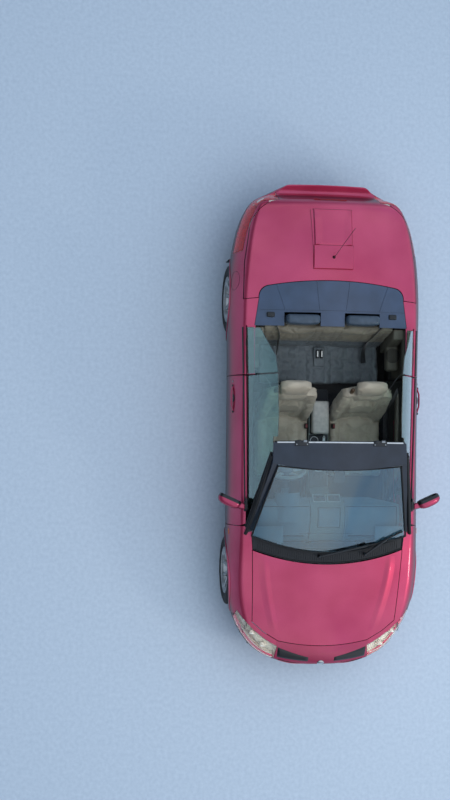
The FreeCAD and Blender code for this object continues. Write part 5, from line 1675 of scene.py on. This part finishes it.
def buildScreenParts():
    low = acrossCar((0.18, 0.35, 0.53, 0.704), -1.132, 0.15 / 0.704 ** 2, 0.936, 0)
    bentTube("screenSealLow", low, sealRadius, "rubberSeal", order=3)
    high = acrossCar((0.14, 0.27, 0.41, 0.545), -0.386, 0.034 / 0.545 ** 2, 1.338, 0)
    bentTube("screenSealHigh", high, 0.006, "rubberSeal", order=3)
    for name, side in sides:
        for piece, points, radius in (
                ("screenSeal_", ((0.702, -0.98, 0.937), (0.624, -0.665, 1.139), (0.544, -0.35, 1.341)),
                 sealRadius),
                ("pillarTrim_", ((0.752, -0.962, 0.9), (0.734, -0.905, 0.945), (0.668, -0.61, 1.14),
                    (0.598, -0.262, 1.338)), 0.016),
                ("pillarSeal_", ((0.748, -0.9, 0.92), (0.682, -0.575, 1.128), (0.6, -0.236, 1.322)), 0.013)):
            bentTube(piece + name, mirrored(side, points), radius, "rubberSeal", order=3)
    strip = acrossCar((0.2, 0.4, 0.555), -0.1465, -0.002 / 0.55 ** 2, 1.3755, 0.077)
    bentTube("headerStrip", strip, 0.0072, "brightTrim", order=3)
    seal = acrossCar((0.2, 0.4, 0.575), -0.143, -0.002 / 0.55 ** 2, 1.35, 0.075)
    bentTube("headerSeal", seal, 0.009, "rubberSeal", order=3)
    latches = bmesh.new()
    for cx in (0.345, -0.345):
        z = 1.382 - 0.077 * cx * cx
        addBlock(latches, (cx - 0.061, -0.178, z - 0.044), (cx + 0.061, -0.131, z + 0.004), 0.006, 3)
        with inFinish(latches, 1):
            for x in (cx - 0.0275, cx + 0.0275):
                addBlockAt(latches, (x, -0.138, z + 0.005), (0.0175, 0.012, 0.004), 0.003, 2)
        with inFinish(latches, 2):
            for x in (cx - 0.0468, cx + 0.0468):
                addTurned(latches, [(0.0, 0.0), (0.0, 0.004), (-0.001, 0.006), (-0.004, 0.006)],
                    (x, -0.164, z + 0.0055), (0, 0, 1), 12)
    settle("roofLatchReceivers", latches, ["satinBlack", "darkAbs", "zincSteel"])


# wipers resting on the glass and the cowl's slats: pivot, then the two ends of the blade
wiperLook = {"sets": (((-0.085, -1.162), (0.06, -1.118), (0.61, -1.004)),
        ((0.33, -1.146), (0.36, -1.082), (0.662, -0.93))), "pivotZ": 0.925}


def buildWipers():
    glass = skinOf("windscreen_glass")
    for index, (pivot, mid, tip) in enumerate(wiperLook["sets"]):
        arm = bmesh.new()
        base = Vector((*pivot, wiperLook["pivotZ"]))
        cap = [(0.026, 0.0), (0.026, 0.008), (0.022, 0.0125), (0.004, 0.0145), (-0.01, 0.0145)]
        addTurned(arm, cap, base, (0, -0.3, 1), 24)
        blade = [onSkin(glass, (*(a + (b - a) * k / 8 for a, b in zip(mid, tip)), 1.8)) for k in range(9)]
        with inFinish(arm, 1):
            for lift, radius in ((0.004, 0.0036), (0.012, 0.007)):
                addRods(arm, [spot + normal * lift for spot, normal in blade], radius, 8)
        centre = blade[4][0] + blade[4][1] * 0.016
        addRod(arm, base + Vector((0, 0, 0.018)), centre + Vector((0, 0, 0.01)), 0.009, 12, 0.001)
        clip = Vector((0.018, 0.006, 0.002))
        for spot, normal in blade[2:7:2]:
            addBlock(arm, spot + normal * 0.006 - clip, spot + normal * 0.016 + clip, 0.003, 2)
        settle("wiper_%d" % index, arm, ["satinBlack", "rubberSeal"])


def buildCowlSlats():
    skin = skinOf("cowl")
    slats = bmesh.new()
    for k in range(-31, 32):
        x = 0.0205 * k
        y = -1.236 + 0.128 * (x / 0.683) ** 2
        laid = [onSkin(skin, (x, y + 0.022 + 0.028 * step, 1.5)) for step in range(4)]
        points = [spot + normal * 0.0012 for spot, normal in laid]
        for a, b in zip(points[:-1], points[1:]):
            if abs((a - b).z) < 0.03:
                addRod(slats, a, b, 0.0022, 6)
    settle("cowlSlats", slats, ["mouldedPolypropylene"])
    edge = acrossCar((0.16, 0.33, 0.5, 0.67), -1.226, 0.124 / 0.683 ** 2, 1.5, 0)
    line = [onSkin(skin, spot)[0] + Vector((0, 0, 0.002)) for spot in edge]
    bentTube("cowlSeal", line, 0.0065, "rubberSeal", order=3)
    jets = bmesh.new()
    bonnet = skinOf("bonnet")
    for x in (-0.28, 0.28):
        spot, normal = onSkin(bonnet, (x, -1.19, 1.5))
        addBlock(jets, spot - Vector((0.014, 0.009, 0.002)), spot + Vector((0.014, 0.009, 0.007)), 0.004, 3)
    settle("washerJets", jets, ["satinBlack"], "bonnet")


# raised panel on the boot lid: a block in front and a lower blade behind it, their edges sloped
def buildBootPanel():
    skin = skinOf("boot_lid")
    front = gridAbove(spread(-0.184, 0.184, 14, 0.008), spread(1.392, 1.612, 8, 0.008))
    sheet("bootPanelFront", skin, front, down, 0.014, "bodyPaint", "boot_lid", 30)
    blade = gridAbove(spread(-0.176, 0.176, 14, 0.012), spread(1.606, 1.945, 14, 0.01), 0.012)
    sheet("bootPanelBlade", skin, blade, down, 0.011, "bodyPaint", "boot_lid", 30)


# soft creases that run down the bonnet from the pillars to the lamps, their section as (across, height)
creaseLook = {"section": ((-0.045, 0.0), (-0.03, 0.0014), (-0.012, 0.0052), (0.0, 0.0072), (0.012, 0.0052),
        (0.034, 0.0018), (0.06, 0.0)), "stations": 17, "edgeDip": 0.0003, "lift": 0.00005}


def buildBonnetCreases():
    skin = skinOf("bonnet")
    for name, side in sides:
        crease = bmesh.new()
        rows = []
        for i in range(creaseLook["stations"]):
            t = i / (creaseLook["stations"] - 1)
            y = -1.165 - 0.7 * t
            x = 0.575 - 0.135 * t ** 1.6
            fade = min(1.0, 6 * min(t, 1 - t))
            row = []
            for across, height in creaseLook["section"]:
                spot, normal = onSkin(skin, (side * (x + across), y, 1.5))
                dip = creaseLook["edgeDip"] if height == 0 else 0
                row.append(crease.verts.new(spot + normal * (height * fade - dip + creaseLook["lift"])))
            rows.append(row)
        joinRings(crease, rows, False)
        settle("bonnetCrease_" + name, crease, ["bodyPaint"], "bonnet", sharpAt=60)


# aerial, third brake lamp, boot release, fuel flap, repeaters, mud flaps and tail pipe trim
def buildTailParts():
    lid = skinOf("boot_lid")
    base, normal = onSkin(lid, (0.0, 1.5, 1.5))
    mast = bmesh.new()
    addTurned(mast, [(-0.003, 0.026), (0.004, 0.024), (0.012, 0.016), (0.022, 0.009), (0.032, 0.0055),
            (0.06, 0.004),
            (0.062, 0.0)], base, (0, 0.1, 1), 28)
    settle("aerialFoot", mast, ["satinBlack"], "boot_lid")
    whip = [tuple(base + Vector(step)) for step in ((0, 0, 0.05), (0.046, 0.092, 0.172),
            (0.107, 0.204, 0.356))]
    bentTube("aerialWhip", whip, 0.0022, "satinBlack", body="boot_lid", order=3)
    for piece, seenAt, half, back, front, z1, z2, rounding, finish, slotName in (
            ("thirdStopLamp", 0.905, 0.15, 0.006, 0.005, 0.897, 0.915, 0.004, "redLens", "lamp_red"),
            ("bootRelease", 0.735, 0.085, 0.01, 0.01, 0.722, 0.744, 0.006, "satinBlack", "black_plastic")):
        bar = bmesh.new()
        spot, normal = onSkin(lid, (0.0, 2.6, seenAt), (0, -1, 0))
        addBlock(bar, (-half, spot.y - back, z1), (half, spot.y + front, z2), rounding, 3)
        settle(piece, bar, [finish], "boot_lid")
    flap = []
    quarter = skinOf("quarter_right")
    for k in range(33):
        a = math.tau * k / 32
        spot, normal = onSkin(quarter, (-1.4, 1.3 + 0.085 * math.cos(a), 0.8 + 0.078 * math.sin(a)),
            (1, 0, 0))
        flap.append(spot + normal * 0.0002)
    bentTube("fuelFlapJoint", flap, 0.0016, "rubberSeal", order=3)
    for name, side in sides:
        spot, normal = onSkin(skinOf("wing_" + name), (1.4 * side, -0.952, 0.69), (-side, 0, 0))
        lens = bmesh.new()
        addBlockAt(lens, spot, (0.005, 0.026, 0.011), 0.005, 3)
        settle("sideRepeater_" + name, lens, ["amberLens"])
        mud = bmesh.new()
        addBlock(mud, (side * 0.64, 1.552, 0.17), (side * 0.842, 1.56, 0.33), 0.003, 2)
        settle("mudFlap_" + name, mud, ["rubberSeal"])
    tip = bmesh.new()
    addTurned(tip, [(-0.09, 0.0335), (0.01, 0.0375), (0.016, 0.0385), (0.018, 0.037), (0.016, 0.0345),
            (-0.04, 0.0305),
            (-0.085, 0.029)], (-0.36, 2.104, 0.2372), (0, 1, -0.099), 48)
    settle("tailPipeTrim", tip, ["chromePlate"])
    disc = bmesh.new()
    spot, normal = onSkin(skinOf("front_bumper"), (0, -2.6, 0.612), (0, 1, 0))
    addTurned(disc, [(0.0055, 0.0), (0.005, 0.018), (0.003, 0.027), (0.0045, 0.029), (0.003, 0.0315),
            (-0.002, 0.0325)],
        spot, normal, 48)
    settle("noseDisc", disc, ["chromePlate"])


# dark shelf inside the windscreen's lower corners and dark inserts over the grille slots
def buildShelfAndNose():
    for name, side in sides:
        starts = []
        for x in spread(0.424, 0.696, 10, 0.004):
            edge = -1.096 + 0.126 * (x / 0.694) ** 2
            starts.append([(side * x, edge + (-0.897 - edge) * t, 1.6)
                    for t in (0.0, 0.05, 0.2, 0.4, 0.6, 0.8, 0.95, 1.0)])
        sheet("screenShelf_" + name, skinOf("wing_" + name), starts, down, 0.003, "softDash", sharpAt=50)
        starts = []
        for x in spread(0.118, 0.412, 12, 0.005):
            front = -2.15 + 0.28 * x * x
            starts.append([(side * x, front + (0.02 + 0.085 * x / 0.412) * t, 1.6)
                    for t in (0.0, 0.08, 0.3, 0.5, 0.7, 0.92, 1.0)])
        sheet("noseInsert_" + name, skinOf("front_bumper"), starts, down, 0.0025, "satinBlack",
            sharpAt=50)


buildShelfAndNose()
buildScreenParts()
buildWipers()
buildCowlSlats()
buildBootPanel()
buildBonnetCreases()
buildTailParts()
print("outside details built")


# pale floor and soft outdoor light: bright above, dim at the horizon
floorMesh = bpy.data.meshes.new("floor")
shape = bmesh.new()
bmesh.ops.create_grid(shape, x_segments=1, y_segments=1, size=60)
shape.to_mesh(floorMesh)
shape.free()
floorPiece = bpy.data.objects.new("floor", floorMesh)
bpy.context.collection.objects.link(floorPiece)
floorPaint, tree, shader, place = startMaterial("paleScreed")
dust = addNode(tree, "ShaderNodeTexNoise", {"Scale": perMetre(35), "Detail": 5.0}, {"Vector": place})
tree.links.new(colourBetween(tree, dust.outputs["Fac"], "#b9c8d8", "#c5d3e2"), shader.inputs["Base Color"])
shader.inputs["Roughness"].default_value = 0.9
floorMesh.materials.append(floorPaint)

skyLook = {"zenith": "#98c2ea", "cloud": "#ffffff", "horizon": "#4a545e", "strength": 1.0, "from": 0.0,
    "to": 0.6,
    "lean": (0.8, 0.0, 1.0)}
sky = bpy.data.worlds.new("softSky")
bpy.context.scene.world = sky
sky.use_nodes = True
tree = sky.node_tree
ways = addNode(tree, "ShaderNodeTexCoord", {}, {})
# the surroundings stand higher on the car's right, as trees and walls do
openness = addNode(tree, "ShaderNodeVectorMath", {"operation": "DOT_PRODUCT", 1: skyLook["lean"]},
    {0: ways.outputs["Generated"]})
height = addNode(tree, "ShaderNodeMapRange",
    {"interpolation_type": "SMOOTHSTEP", 1: skyLook["from"], 2: skyLook["to"]},
    {0: openness.outputs["Value"]})
puffs = addNode(tree, "ShaderNodeTexNoise", {"Scale": 2.6, "Detail": 4.0, "Distortion": 0.4},
    {"Vector": ways.outputs["Generated"]})
dome = addNode(tree, "ShaderNodeMix", {"data_type": "RGBA", 6: linear(skyLook["horizon"])},
    {0: height.outputs[0], 7: colourBetween(tree, puffs.outputs["Fac"], skyLook["zenith"],
        skyLook["cloud"])})
background = tree.nodes["Background"]
tree.links.new(dome.outputs[2], background.inputs["Color"])
background.inputs["Strength"].default_value = skyLook["strength"]

lamps = {"overhead": {"at": (1.5, -1.0, 7.5), "size": 6.0, "watts": 200, "colour": "#ffffff", "shine": False},
    "side": {"at": (7.0, -4.5, 6.0), "size": 1.4, "watts": 110, "colour": "#fff6ea", "shine": True}}
for lampName, lamp in lamps.items():
    light = bpy.data.lights.new(lampName, "AREA")
    light.size = lamp["size"]
    light.energy = lamp["watts"]
    light.color = linear(lamp["colour"])[:3]
    holder = bpy.data.objects.new(lampName, light)
    holder.location = lamp["at"]
    holder.rotation_euler = (Vector((0, 0, 0.6)) - Vector(lamp["at"])).to_track_quat("-Z", "Y").to_euler()
    holder.visible_glossy = lamp["shine"]
    bpy.context.collection.objects.link(holder)

bpy.context.scene.view_settings.view_transform = "Standard"
print("stage set")
